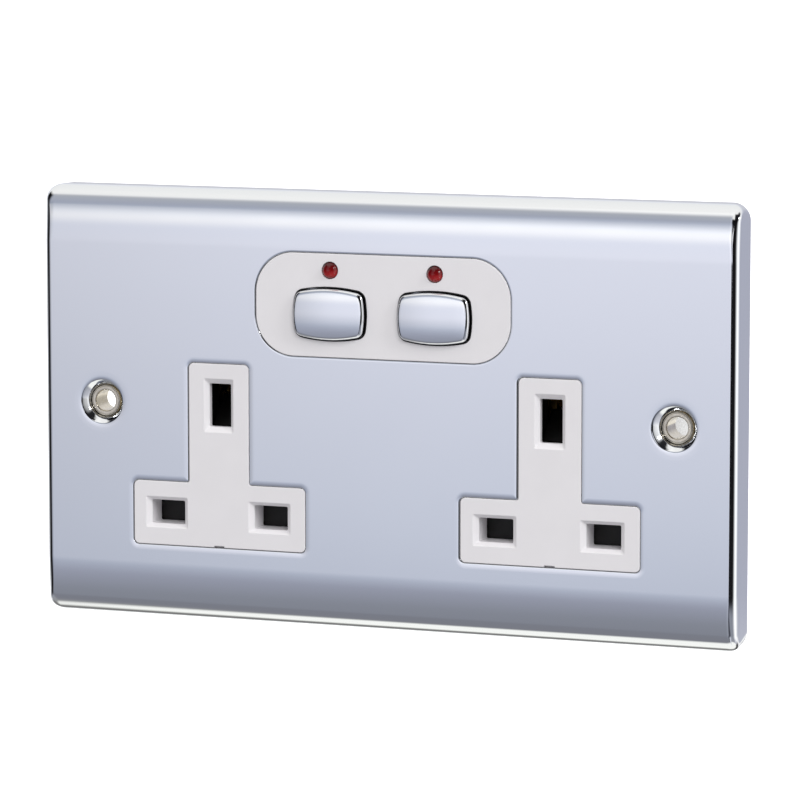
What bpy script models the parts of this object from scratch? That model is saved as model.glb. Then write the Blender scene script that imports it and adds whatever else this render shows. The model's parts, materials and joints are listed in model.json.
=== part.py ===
"""Two-gang flush wall socket with a formed metal plate, T-shaped socket inserts and remote switching.

All lengths are metres. The wall is the plane y = 0 and the front faces -y. The line of the two
fixing holes is z = 0, and x = 0 lies halfway between them.
"""
import math

import bmesh
import bpy
from mathutils import Vector

for old in list(bpy.data.objects):
    bpy.data.objects.remove(old, do_unlink=True)

# Clearances
seat_gap = 0.0003          # between a piece and what it rests on
slide_gap = 0.00025        # between a moving piece and its guide
weld = 0.0002              # how far an added form is sunk into the body it belongs to

# Face plate: pressed sheet, tight folds at the sides, crowned at top and bottom
fixing_centres = 0.1206
plate_end = 0.0126         # from a fixing hole's centre to the plate's end
plate_margin = 0.0120      # from the switch panel's top to the plate's top
plate_depth = 0.0080
plate_sheet = 0.0010
plate_corner = 0.0043
side_fold = 0.0014
end_fold = 0.0042
crown_start = 0.0125       # from the top edge to where the crown begins
crown_tilt = math.radians(7)

# Dimple and spun bush of a fixing hole
dimple_width = 0.0090
dimple_floor_width = 0.0069
dimple_depth = 0.0024
bush_collar_width = 0.0063
bush_collar = 0.0005
bush_tube_width = 0.0052
bush_bore = 0.0043
bush_edge = 0.0002
bush_end = 0.0006          # from the bush's end to the wall

# Socket inserts; heights are from the earth pin's centre
socket_centres = 0.0698
tee_leg_width = 0.0128
tee_arm_width = 0.0369
tee_top = 0.0086
tee_shoulder = -0.0156
tee_bottom = -0.0284
tee_corner = 0.0010
tee_inner_corner = 0.0006
insert_flange = 0.0020
flange_thick = 0.0012
notch_width = 0.0022
notch_height = 0.0004

# Pin slots for standard 13 A pins
pin_drop = 0.0221          # earth pin's centre to the other two
pin_spread = 0.0222        # between the other two
earth_pin = (0.0040, 0.0080)
flat_pin = (0.00635, 0.0040)
slot_ease = 0.0008         # how much wider a slot is than its pin
slot_chamfer = (0.0016, 0.0020)
flat_chamfer = (0.0018, 0.0014)
chamfer_depth = 0.0010
slot_corner = 0.0003
tunnel_depth = 0.0057
tunnel_wall = 0.0006

# Switch panel, push-buttons and indicators
panel_width = 0.0534
panel_height = 0.0205
panel_land = 0.0024        # the plate between the panel and the tops of the inserts
panel_corner = 0.0080
button_spread = 0.0220
button_drop = 0.0017       # the buttons' centres below the panel's
button_width = 0.0149
button_height = 0.0101
button_bulge = (0.0005, 0.0008)
button_corner = 0.0011
button_rise = 0.0015
button_dome = 0.00045
button_bevel = 0.0008
dome_reach = 0.0024        # how far in from the bevel the dome is curved
button_lip = 0.0010
button_lip_thick = 0.0008
button_stem = 0.0042
button_travel = 0.0005
led_lift = 0.0070          # the indicators' centres above the panel's
led_width = 0.0033
led_rise = 0.0010
led_flange = 0.0044
led_flange_thick = 0.0008
led_pitch = 0.00254
led_lead = 0.0005

# Contact carrier: the moulding behind the plate that holds everything
carrier_side = 0.0110      # from the outermost pins' centres to its sides
carrier_margin = 0.0045    # from the switch panel's top to its top
carrier_corner = 0.0030
carrier_front = -0.0002
carrier_thick = 0.0015
rib_wall = 0.0014
rib_inset = 0.0004
guide_wall = 0.0012
guide_span = (-0.0140, -0.0062)
boss_width = 0.0056
boss_length = 0.0075
board_rest_width = 0.0040
board_rest_at = 0.0430
board_rest_heights = (0.0100, 0.0290)

# Shutters, one behind each insert
shutter_travel = 0.0050
shutter_thick = 0.0015
shutter_margin = 0.0003    # how far it covers past a slot
shutter_stem = 0.0060
ramp_front = 0.0045        # from the plate's front to the ramp's tip
ramp_tip = -0.0042         # height of the tip
ramp_reach = 0.0056        # from tip to crest, the same in depth and in height
ramp_heel = 0.0020         # thickness of its far end
spring_outer = 0.0018
spring_wire = 0.00032
spring_turns = 6
spring_length = 0.0077
spring_foot = -0.0150
peg_height = 0.0014

# Brass work
brass = 0.0010
leaf = 0.0008
strap_level = 0.0120       # front face of the straps behind the flat pins
grip_length = 0.0090
grip_width = 0.0056
grip_flare = 0.0008
earth_width = 0.0120
earth_level = 0.0035       # middle of the earth strap, behind the wall plane
earth_grip = 0.0125
earth_eye = 0.0050         # how far it runs past the fixing centre
joggle_inset = 0.0031      # from the housing's side in to the step forward to the wall
joggle_run = 0.0040
hat_reach = 0.0010         # how far the drop spans past the outer earth terminal's centre line
hat_flank = 0.0011         # how far its sides lean
strap_width = 0.0048
strap_drop = 0.0290
tail_width = 0.0030
tail_height = 0.0093

# Terminals
terminal_pitch = 0.0100
terminal_gap = 0.0012
terminal_height = 0.0090
terminal_deep = 0.0100
terminal_at = -0.0215
wire_bore = 0.0050
wire_wall = 0.0020
terminal_screw = 0.0032
terminal_head = 0.0056
terminal_head_thick = 0.0016
driver_slot = (0.0009, 0.0008)

# Circuit board and what stands on it; sizes are x, depth, z and centres x, z
board_front = 0.0030
board_thick = 0.0016
board_width = 0.0920
board_height = 0.0244
board_over = 0.0004        # how far it stands over the switch panel's top
tact_width = 0.0060
tact_height = 0.0035
plunger_width = 0.0034
plunger_rise = 0.0007
plunger_sunk = 0.0014
relay_size = (0.0290, 0.0127, 0.0157)
relay_centre = (0.0175, 0.02235)
capacitor_size = (0.0070, 0.0130, 0.0180)
capacitor_centre = (0.0378, 0.0200)
transformer_size = (0.0110, 0.0110, 0.0110)
transformer_centre = (-0.0394, 0.0148)
electrolytic_width = 0.0080
electrolytic_height = 0.0120
electrolytic_centre = (-0.0394, 0.0262)
radio_size = (0.0120, 0.0013, 0.0110)
radio_centre = (0.0, 0.0255)
chip_size = (0.0070, 0.0014, 0.0044)
chip_centre = (0.0055, 0.0112)
varistor_width = 0.0080
varistor_thick = 0.0036
varistor_centre = (0.0165, 0.0111)

# Rear housing and its screws
housing_inset = (0.0034, 0.0014)   # from the carrier's sides and ends in to its own
housing_wall = 0.0018
housing_corner = 0.0030
housing_chamfer = 0.0009
bay_side = 0.0016          # from the outer terminals' sides to the bay's
access_width = 0.0068
well_width = 0.0066
screw_inset = 0.0040       # from the housing's sides in to a screw
screw_head = 0.0044
screw_head_thick = 0.0018
screw_shank = 0.0024
screw_seat = 0.0130        # where a screw's head lands, behind the wall plane
cross_width = 0.0008
cross_length = 0.0030
pillar = 0.0040

# Steps along round stretches
corner_steps = 4
panel_steps = 6
crown_steps = 3
fold_steps = 4
dome_steps = 3
round_steps = 24
small_steps = 16
screw_steps = 12
spring_steps = 9
spring_sides = 5

# Sizes and places that follow from those above
panel_top = tee_top + panel_land + panel_height
panel_centre = panel_top - panel_height / 2
button_height_at = panel_centre - button_drop
led_height_at = panel_centre + led_lift
plate_width = fixing_centres + 2 * plate_end
plate_height = 2 * (panel_top + plate_margin)
carrier_width = socket_centres + pin_spread + 2 * carrier_side
carrier_height = 2 * (panel_top + carrier_margin)
housing_width = carrier_width - 2 * housing_inset[0]
housing_height = carrier_height - 2 * housing_inset[1]
screw_spot = (housing_width / 2 - screw_inset, housing_height / 2 - screw_inset)
joggle_out = housing_width / 2 - joggle_inset
joggle_in = joggle_out - joggle_run
terminal_width = terminal_pitch - terminal_gap
bay_width = 3 * terminal_pitch + terminal_width + 2 * bay_side
hat_half = terminal_pitch + hat_reach
board_top = panel_top + board_over
board_bottom = board_top - board_height
front = -plate_depth
sheet_back = front + plate_sheet
flange_front = sheet_back + seat_gap
flange_back = flange_front + flange_thick
rib_front = flange_back + seat_gap
tunnel_back = front + tunnel_depth
shutter_front = tunnel_back + seat_gap
shutter_back = shutter_front + shutter_thick
ramp_crest = (front + ramp_front + ramp_reach, ramp_tip + ramp_reach)
ramp_root = ramp_crest[1] - ramp_heel - (ramp_crest[0] - shutter_back)
carrier_back = carrier_front + carrier_thick
boss_end = carrier_back + boss_length
housing_front = carrier_back + seat_gap
board_back = board_front + board_thick
part_front = board_back + seat_gap
switch_back = board_front - seat_gap
switch_front = switch_back - tact_height
plunger_front = switch_front - plunger_rise
strap_back = strap_level + brass
terminal_front = strap_back + seat_gap
terminal_back = terminal_front + terminal_deep
floor_front = terminal_back + seat_gap
housing_back = floor_front + housing_wall


def material(name, colour, roughness, metallic=0.0):
    """A plain Principled material from an RGB colour."""
    made = bpy.data.materials.new(name)
    made.use_nodes = True
    shader = made.node_tree.nodes["Principled BSDF"]
    shader.inputs["Base Color"].default_value = (*colour, 1.0)
    shader.inputs["Roughness"].default_value = roughness
    shader.inputs["Metallic"].default_value = metallic
    return made


chrome = material("chromed pressed steel", (0.72, 0.73, 0.76), 0.10, 1.0)
satin_chrome = material("chromed button", (0.66, 0.68, 0.73), 0.15, 1.0)
white = material("white moulded plastic", (0.74, 0.73, 0.74), 0.35)
red_lens = material("dark red lens", (0.25, 0.03, 0.03), 0.12)
nickel = material("nickel brass bush", (0.62, 0.56, 0.46), 0.25, 1.0)
black = material("black moulded plastic", (0.02, 0.02, 0.02), 0.5)
grey = material("grey moulded plastic", (0.45, 0.46, 0.48), 0.5)
brass_look = material("sheet brass", (0.75, 0.58, 0.28), 0.3, 1.0)
steel = material("plated steel", (0.62, 0.63, 0.65), 0.3, 1.0)
board_green = material("circuit board laminate", (0.05, 0.22, 0.12), 0.5)
dark_part = material("dark component plastic", (0.05, 0.05, 0.06), 0.5)
yellow_part = material("yellow capacitor case", (0.75, 0.6, 0.15), 0.5)
blue_part = material("blue component coating", (0.08, 0.18, 0.45), 0.4)


# How a point of an outline (u, v) at level w lies in space, for a prism along each axis
lay = {
    "x": lambda u, v, w: (w, u, v),
    "y": lambda u, v, w: (u, w, v),
    "z": lambda u, v, w: (u, v, w),
}


def loft(name, rings, look, closed=False):
    """A solid through rings of equally many points, capped at both ends or closed on itself."""
    bm = bmesh.new()
    rows = [[bm.verts.new(point) for point in ring] for ring in rings]
    pairs = list(zip(rows, rows[1:]))
    if closed:
        pairs.append((rows[-1], rows[0]))
    else:
        bm.faces.new(rows[0])
        bm.faces.new(rows[-1])
    for low, high in pairs:
        for i in range(len(low)):
            bm.faces.new((low[i - 1], low[i], high[i], high[i - 1]))
    bmesh.ops.recalc_face_normals(bm, faces=bm.faces)
    mesh = bpy.data.meshes.new(name)
    bm.to_mesh(mesh)
    bm.free()
    mesh.materials.append(look)
    made = bpy.data.objects.new(name, mesh)
    bpy.context.scene.collection.objects.link(made)
    return made


def sections(name, levels, look, closed=False):
    """A loft through outlines (x, z), each at its own depth y."""
    return loft(name, [[(x, y, z) for x, z in outline] for y, outline in levels], look, closed)


def prism(name, outline, low, high, look, axis="y"):
    """An outline pushed straight from one level to another along an axis."""
    return loft(name, [[lay[axis](u, v, w) for u, v in outline] for w in (low, high)], look)


def block(name, x_span, y_span, z_span, look):
    """A straight-sided block between two corners."""
    (x0, x1), (z0, z1) = x_span, z_span
    return prism(name, [(x0, z0), (x1, z0), (x1, z1), (x0, z1)], *y_span, look)


def around(centre, size):
    """The span of a length centred on a value."""
    return centre - size / 2, centre + size / 2


def turned(name, profile, centre, look, closed=False, steps=round_steps):
    """A profile of (radius, y) turned about a line along y through centre (x, z)."""
    turns = [2 * math.pi * k / steps for k in range(steps)]
    rings = [
        [(centre[0] + r * math.cos(t), y, centre[1] + r * math.sin(t)) for t in turns]
        for r, y in profile
    ]
    made = loft(name, rings, look, closed)
    made.data.shade_smooth()
    made.data.set_sharp_from_angle(angle=math.radians(35))
    return made


def rounded(corners, radii, steps=corner_steps):
    """An outline with each corner replaced by an arc of its radius; radius 0 leaves the corner."""
    points = []
    for i, corner in enumerate(corners):
        here = Vector(corner)
        back = (Vector(corners[i - 1]) - here).normalized()
        ahead = (Vector(corners[(i + 1) % len(corners)]) - here).normalized()
        if radii[i] == 0:
            points.append((here.x, here.y))
            continue
        half = back.angle(ahead) / 2
        centre = here + (back + ahead).normalized() * radii[i] / math.sin(half)
        start = here + back * radii[i] / math.tan(half) - centre
        end = here + ahead * radii[i] / math.tan(half) - centre
        turn = math.atan2(start.x * end.y - start.y * end.x, start.dot(end))
        for k in range(steps + 1):
            angle = turn * k / steps
            c, s = math.cos(angle), math.sin(angle)
            points.append((centre.x + start.x * c - start.y * s, centre.y + start.x * s + start.y * c))
    return points


def rounded_box(width, height, radius, centre=(0.0, 0.0), steps=corner_steps):
    """A rectangle with rounded corners."""
    u, v = width / 2, height / 2
    cu, cv = centre
    corners = [(cu + u, cv + v), (cu - u, cv + v), (cu - u, cv - v), (cu + u, cv - v)]
    return rounded(corners, [radius] * 4, steps)


def bent_strip(path, thickness):
    """The outline of a strip bent along a path, with mitred corners."""
    half = thickness / 2
    points = [Vector(point) for point in path]
    left, right = [], []
    for i, here in enumerate(points):
        before = (here - points[i - 1]).normalized() if i else None
        after = (points[i + 1] - here).normalized() if i + 1 < len(points) else None
        if before is None or after is None:
            along = before or after
            side = Vector((-along.y, along.x)) * half
        else:
            side = Vector((-before.y - after.y, before.x + after.x)).normalized()
            side *= half / side.dot(Vector((-before.y, before.x)))
        left.append(here + side)
        right.append(here - side)
    return [(p.x, p.y) for p in left + right[::-1]]


def combine(body, tool, operation):
    """Adds or takes away a hidden tool shape."""
    tool.hide_render = True
    tool.display_type = "WIRE"
    step = body.modifiers.new(tool.name, "BOOLEAN")
    step.operation = operation
    step.object = tool
    step.solver = "EXACT"


def cut(body, *tools):
    for tool in tools:
        combine(body, tool, "DIFFERENCE")


def add(body, *tools):
    for tool in tools:
        combine(body, tool, "UNION")


def put_origin(body, place):
    """Moves an object's origin to a place without moving its shape."""
    for vertex in body.data.vertices:
        vertex.co -= Vector(place)
    body.location = place


def terminals():
    """Name and x of each terminal, from left to right."""
    names = ("line_terminal", "left_earth_terminal", "right_earth_terminal", "neutral_terminal")
    return [(name, (i - 1.5) * terminal_pitch) for i, name in enumerate(names)]


def side_name(sign):
    return "left" if sign < 0 else "right"


# Face plate

def plate_ring(half_height, depth, inset):
    """The plate's outline at a depth, rounded more towards the wall."""
    reach = side_fold - depth
    half_width = plate_width / 2 - inset
    if reach > 0:
        half_width = plate_width / 2 - side_fold + math.sqrt(max((side_fold - inset) ** 2 - reach**2, 0))
    share = min(depth, end_fold) / end_fold
    corner = side_fold + (plate_corner - side_fold) * share - inset
    return front + depth, rounded_box(2 * half_width, 2 * half_height, max(corner, seat_gap))


def plate_rings(inset):
    """Outlines from the flat front over the crown and the fold down to the wall."""
    tilt = crown_tilt
    run = crown_start - end_fold * (1 - math.sin(tilt))
    start = plate_height / 2 - crown_start
    rings = []
    for k in range(crown_steps + 1):
        share = k / crown_steps
        slope = math.atan(share * math.tan(tilt))
        depth = share**2 * run * math.tan(tilt) / 2
        rings.append((start + share * run - inset * math.sin(slope), depth + inset * math.cos(slope)))
    fold_depth = run * math.tan(tilt) / 2 + end_fold * math.cos(tilt)
    fold = end_fold - inset
    for k in range(1, fold_steps + 1):
        angle = tilt + (math.pi / 2 - tilt) * k / fold_steps
        half_height = plate_height / 2 - end_fold + fold * math.sin(angle)
        rings.append((half_height, fold_depth - fold * math.cos(angle)))
    rings.append((plate_height / 2 - inset, plate_depth))
    return [plate_ring(half_height, depth, inset) for half_height, depth in rings]


def dimple(sign):
    """The outer cup of a pressed-in fixing hole, and the space inside it."""
    centre = (sign * fixing_centres / 2, 0.0)
    slope = (dimple_width - dimple_floor_width) / 2 / dimple_depth
    floor = front + dimple_depth
    hole = bush_tube_width / 2 + seat_gap
    cup = turned(
        "dimple_cup",
        [
            (dimple_width / 2 + plate_sheet, front + plate_sheet / 2),
            (dimple_floor_width / 2 + plate_sheet, floor + plate_sheet),
        ],
        centre,
        chrome,
    )
    space = turned(
        "dimple_space",
        [
            (dimple_width / 2 + slope * weld, front - weld),
            (dimple_floor_width / 2, floor),
            (hole, floor),
            (hole, floor + plate_sheet + weld),
        ],
        centre,
        chrome,
    )
    return cup, space


def make_faceplate():
    plate = sections("faceplate", plate_rings(0.0) + plate_rings(plate_sheet)[::-1], chrome)
    cups, spaces = zip(*(dimple(sign) for sign in (-1, 1)))
    add(plate, *cups)
    cut(plate, *spaces)
    holes = [tee_outline(sign, seat_gap) for sign in (-1, 1)] + [panel_outline(seat_gap)]
    for outline in holes:
        cut(plate, prism("plate_hole", outline, front - weld, sheet_back + weld, chrome))


# Socket inserts

def tee_outline(sign, grow=0.0):
    """The T of an insert, grown all round."""
    centre = sign * socket_centres / 2
    leg, arm = tee_leg_width / 2 + grow, tee_arm_width / 2 + grow
    top, shoulder, bottom = tee_top + grow, tee_shoulder + grow, tee_bottom - grow
    corners = [
        (arm, bottom), (arm, shoulder), (leg, shoulder), (leg, top),
        (-leg, top), (-leg, shoulder), (-arm, shoulder), (-arm, bottom),
    ]
    outer, inner = tee_corner + grow, max(tee_inner_corner - grow, seat_gap)
    radii = [outer, outer, inner, outer, outer, inner, outer, outer]
    return rounded([(centre + u, v) for u, v in corners], radii)


def pins(sign):
    """Centre, slot size and chamfer of the earth, neutral and line slots."""
    centre = sign * socket_centres / 2
    earth = tuple(size + slot_ease for size in earth_pin)
    flat = tuple(size + slot_ease for size in flat_pin)
    return [
        ((centre, 0.0), earth, slot_chamfer),
        ((centre - pin_spread / 2, -pin_drop), flat, flat_chamfer),
        ((centre + pin_spread / 2, -pin_drop), flat, flat_chamfer),
    ]


def slot_space(centre, size, chamfer, end):
    """The space of a pin slot: a chamfered mouth and a straight way in."""
    levels = [(front - chamfer_depth, 2), (front + chamfer_depth, 0), (end, 0)]
    rings = [
        (y, rounded_box(size[0] + n * chamfer[0], size[1] + n * chamfer[1], slot_corner, centre, 2))
        for y, n in levels
    ]
    return sections("slot_space", rings, white)


def make_insert(sign):
    insert = sections(
        side_name(sign) + "_socket_insert",
        [
            (front, tee_outline(sign)),
            (flange_front, tee_outline(sign)),
            (flange_front, tee_outline(sign, insert_flange)),
            (flange_back, tee_outline(sign, insert_flange)),
        ],
        white,
    )
    earth, neutral, line = pins(sign)
    size = neutral[1]
    centre = sign * socket_centres / 2
    tunnel = block(
        "slot_tunnel",
        around(centre, pin_spread + size[0] + 2 * tunnel_wall),
        (flange_back - weld, tunnel_back),
        around(-pin_drop, size[1] + 2 * tunnel_wall),
        white,
    )
    add(insert, tunnel)
    cut(insert, slot_space(*earth, flange_back + weld))
    cut(insert, slot_space(*neutral, tunnel_back + weld), slot_space(*line, tunnel_back + weld))
    notch = block(
        "notch_space",
        around(centre, notch_width),
        (front - weld, sheet_back),
        (tee_bottom - weld, tee_bottom + notch_height),
        white,
    )
    cut(insert, notch)


# Switch panel, buttons and indicators

def panel_outline(grow=0.0):
    size = (panel_width + 2 * grow, panel_height + 2 * grow)
    return rounded_box(*size, panel_corner + grow, (0.0, panel_centre), panel_steps)


def barrel_outline(sign, grow=0.0):
    """A rectangle with bulging sides and rounded corners, grown all round."""
    half_w, half_h = button_width / 2 + grow, button_height / 2 + grow
    bulge_w, bulge_h = button_bulge
    corners, radii = [], []
    for turn in range(4):
        along, across = (half_w, half_h) if turn % 2 == 0 else (half_h, half_w)
        swell, pinch = (bulge_h, bulge_w) if turn % 2 == 0 else (bulge_w, bulge_h)
        for share in (1.0, 0.5, 0.0, -0.5):
            u, v = share * (along - pinch), across - swell * share**2
            for _ in range(turn):
                u, v = -v, u
            corners.append((sign * button_spread / 2 + u, button_height_at + v))
            radii.append(max(button_corner + grow, seat_gap) if share == 1.0 else 0)
    return rounded(corners, radii)


def led_centre(sign):
    return sign * button_spread / 2, led_height_at


def make_switch_panel():
    panel = sections(
        "switch_panel",
        [
            (front, panel_outline()),
            (flange_front, panel_outline()),
            (flange_front, panel_outline(insert_flange)),
            (flange_back, panel_outline(insert_flange)),
        ],
        white,
    )
    for sign in (-1, 1):
        hole = barrel_outline(sign, slide_gap)
        cut(panel, prism("button_hole", hole, front - weld, flange_back + weld, white))
        wall = led_width / 2 + slide_gap
        profile = [(wall, front - weld), (wall, flange_back + weld)]
        cut(panel, turned("led_hole", profile, led_centre(sign), white))


def make_button(sign):
    """A domed cap on a skirt with a lip behind the panel and a stem to its switch."""
    edge = front - button_rise + button_dome
    levels = [
        (rib_front + button_lip_thick, barrel_outline(sign, button_lip)),
        (rib_front, barrel_outline(sign, button_lip)),
        (rib_front, barrel_outline(sign)),
        (edge + button_bevel / 2, barrel_outline(sign)),
        (edge, barrel_outline(sign, -button_bevel)),
    ]
    for k in range(1, dome_steps + 1):
        share = k / dome_steps
        inset = button_bevel + share * dome_reach
        levels.append((edge - button_dome * (1 - (1 - share) ** 2), barrel_outline(sign, -inset)))
    button = sections(side_name(sign) + "_button", levels, satin_chrome)
    centre = (sign * button_spread / 2, button_height_at)
    stem = block(
        "button_stem",
        around(centre[0], button_stem),
        (rib_front + button_lip_thick - weld, plunger_front - seat_gap),
        around(centre[1], button_stem),
        satin_chrome,
    )
    add(button, stem)
    put_origin(button, (centre[0], front, centre[1]))


def make_led(sign):
    """A round lens with a flange behind the panel and two leads to the board."""
    radius = led_width / 2
    flange_end = rib_front + led_flange_thick
    centre_y = front - led_rise + radius
    profile = [(led_flange / 2, flange_end), (led_flange / 2, rib_front), (radius, rib_front)]
    for k in range(dome_steps + 1):
        angle = math.radians(75) * k / dome_steps
        profile.append((radius * math.cos(angle), centre_y - radius * math.sin(angle)))
    profile.append((radius / 12, front - led_rise))
    x, z = led_centre(sign)
    led = turned(side_name(sign) + "_indicator_led", profile, (x, z), red_lens, steps=small_steps)
    for lead in (-1, 1):
        span = around(x + lead * led_pitch / 2, led_lead)
        depth = (flange_end - weld, board_front - seat_gap)
        add(led, block("led_lead", span, depth, around(z, led_lead), steel))


def make_bush(sign):
    """A spun bush: a collar in the dimple and a tube towards the wall."""
    bore, tube, collar = bush_bore / 2, bush_tube_width / 2, bush_collar_width / 2
    seat = front + dimple_depth - seat_gap
    profile = [
        (bore, seat - bush_collar + bush_edge), (bore + bush_edge, seat - bush_collar),
        (collar, seat - bush_collar), (collar, seat), (tube, seat),
        (tube, -bush_end), (bore, -bush_end),
    ]
    turned(side_name(sign) + "_fixing_bush", profile, (sign * fixing_centres / 2, 0.0), nickel, True)


# Contact carrier

def wall_ring(outer, inner):
    """A standing wall between two outlines, rooted in the carrier's plate."""
    root = carrier_front + weld
    rings = [(rib_front, outer), (root, outer), (root, inner), (rib_front, inner)]
    return sections("wall_ring", rings, white, closed=True)


def shutter_span():
    """How wide and how high a shutter's blade is."""
    wide = pin_spread + flat_pin[0] + slot_ease + 2 * shutter_margin
    high = flat_pin[1] + slot_ease + 2 * shutter_margin
    return wide, high


def screw_spots():
    return [(u * screw_spot[0], v * screw_spot[1]) for u in (-1, 1) for v in (-1, 1)]


def make_carrier():
    """The moulding behind the plate: walls that seat the inserts, pegs, guides and bosses."""
    outline = rounded_box(carrier_width, carrier_height, carrier_corner)
    carrier = prism("contact_carrier", outline, carrier_front, carrier_back, black)
    outer, inner = rib_inset + rib_wall, rib_inset
    add(carrier, wall_ring(panel_outline(outer), panel_outline(inner)))
    depth = (carrier_front - weld, carrier_back + weld)
    blade_wide, blade_high = shutter_span()
    for sign in (-1, 1):
        x = sign * socket_centres / 2
        add(carrier, wall_ring(tee_outline(sign, outer), tee_outline(sign, inner)))
        standing = (shutter_front, carrier_front + weld)
        peg = block("spring_peg", around(x, spring_outer), standing,
                    (spring_foot - peg_height, spring_foot), white)
        add(carrier, peg)
        for side in (-1, 1):
            rail = x + side * (shutter_stem / 2 + slide_gap + guide_wall / 2)
            add(carrier, block("stem_guide", around(rail, guide_wall), standing, guide_span, white))
        passage = block(
            "shutter_passage",
            around(x, blade_wide + 2 * slide_gap),
            (shutter_front - slide_gap, carrier_front),
            (tee_bottom - outer - weld, tee_bottom + weld),
            white,
        )
        cut(carrier, passage)
        window = (ramp_root - shutter_travel - slot_ease, earth_pin[1] / 2 + slot_ease)
        cut(carrier, block("ramp_window", around(x, shutter_stem + 2 * slide_gap), depth, window, white))
        for centre, size, _ in pins(sign)[1:]:
            hole = (around(centre[0], size[0] + slot_ease), depth, around(centre[1], size[1] + slot_ease))
            cut(carrier, block("pin_window", *hole, white))
        notch = sorted((sign * (joggle_in - slot_ease), sign * carrier_width))
        cut(carrier, block("strap_notch", notch, depth, around(0.0, earth_width + slot_ease), white))
        tact = tact_width + slot_ease
        centre = sign * button_spread / 2
        cut(carrier, block("tact_window", around(centre, tact), depth, around(button_height_at, tact), white))
        lead = around(centre, led_pitch + 2 * led_lead + slot_ease)
        high = around(led_height_at, led_lead + 2 * slot_ease)
        cut(carrier, block("lead_window", lead, depth, high, white))
        for z in board_rest_heights:
            rest = (carrier_back - weld, board_front - seat_gap)
            spot = around(sign * board_rest_at, board_rest_width)
            add(carrier, block("board_rest", spot, rest, around(z, board_rest_width), white))
    radio = (around(radio_centre[0], radio_size[0] + slot_ease), depth,
             around(radio_centre[1], radio_size[2] + slot_ease))
    cut(carrier, block("radio_window", *radio, white))
    for spot in screw_spots():
        boss = [(boss_width / 2, carrier_back - weld), (boss_width / 2, boss_end)]
        bore = screw_shank / 2 + seat_gap
        space = [(bore, carrier_back), (bore, boss_end + weld)]
        add(carrier, turned("screw_boss", boss, spot, white, steps=small_steps))
        cut(carrier, turned("boss_bore", space, spot, white, steps=screw_steps))


# Shutters and their springs

def make_shutter(sign):
    """A blade over the two lower slots, with a stem up to a ramp behind the earth slot."""
    x = sign * socket_centres / 2
    wide, high = shutter_span()
    depth = (shutter_front, shutter_back)
    shutter = block(side_name(sign) + "_shutter", around(x, wide), depth, around(-pin_drop, high), black)
    tip = front + ramp_front
    foot = -pin_drop + high / 2 - weld
    side = [
        (shutter_front, foot),
        (shutter_front, ramp_tip - (shutter_front - tip)),
        (tip, ramp_tip),
        ramp_crest,
        (ramp_crest[0], ramp_crest[1] - ramp_heel),
        (shutter_back, ramp_root),
        (shutter_back, foot),
    ]
    add(shutter, prism("shutter_stem", side, *around(x, shutter_stem), black, axis="x"))
    low = spring_foot - peg_height - slide_gap * 2
    span = (low, spring_foot + spring_length + seat_gap)
    hollow = block("spring_window", around(x, spring_outer + 2 * seat_gap),
                   (shutter_front - weld, shutter_back + weld), span, black)
    cut(shutter, hollow)
    put_origin(shutter, (x, shutter_front, -pin_drop))


def make_spring(sign):
    """A compression spring standing on its peg: a wire along a helix."""
    x, y = sign * socket_centres / 2, (shutter_front + shutter_back) / 2
    coil = (spring_outer - spring_wire) / 2
    count = spring_turns * spring_steps
    rise = (spring_length - spring_wire) / count
    rings = []
    for k in range(count + 1):
        angle = 2 * math.pi * k / spring_steps
        out = Vector((math.cos(angle), math.sin(angle), 0))
        centre = Vector((x, y, spring_foot + seat_gap / 2 + spring_wire / 2 + rise * k)) + out * coil
        ring = []
        for side in range(spring_sides):
            turn = 2 * math.pi * side / spring_sides
            offset = out * math.cos(turn) + Vector((0, 0, 1)) * math.sin(turn)
            ring.append(centre + offset * spring_wire / 2)
        rings.append(ring)
    spring = loft(side_name(sign) + "_shutter_spring", rings, steel)
    spring.data.shade_smooth()


# Brass work

def flat_grip(x):
    """A sheet clip, open to the front, that holds a flat pin from above and below."""
    half = flat_pin[1] / 2 + seat_gap + leaf / 2
    mouth = strap_level - grip_length
    back = strap_level + leaf / 2
    path = [(mouth, half + grip_flare), (mouth + 2 * grip_flare, half), (back, half)]
    path += [(y, -z) for y, z in reversed(path)]
    path = [(y, z - pin_drop) for y, z in path]
    return prism("flat_grip", bent_strip(path, leaf), *around(x, grip_width), brass_look, axis="x")


def grip_tab(x, low):
    """The sheet behind a flat pin's clip, from a lower edge to the clip's top."""
    top = -pin_drop + flat_pin[1] / 2 + seat_gap + leaf
    return block("grip_tab", around(x, grip_width), (strap_level, strap_back), (low, top), brass_look)


def board_tail(x, foot):
    """A narrow strip that runs up behind the board and turns forward to it."""
    middle = strap_level + brass / 2
    path = [(middle, foot), (middle, tail_height), (part_front, tail_height)]
    return prism("board_tail", bent_strip(path, brass), *around(x, tail_width), brass_look, axis="x")


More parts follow.
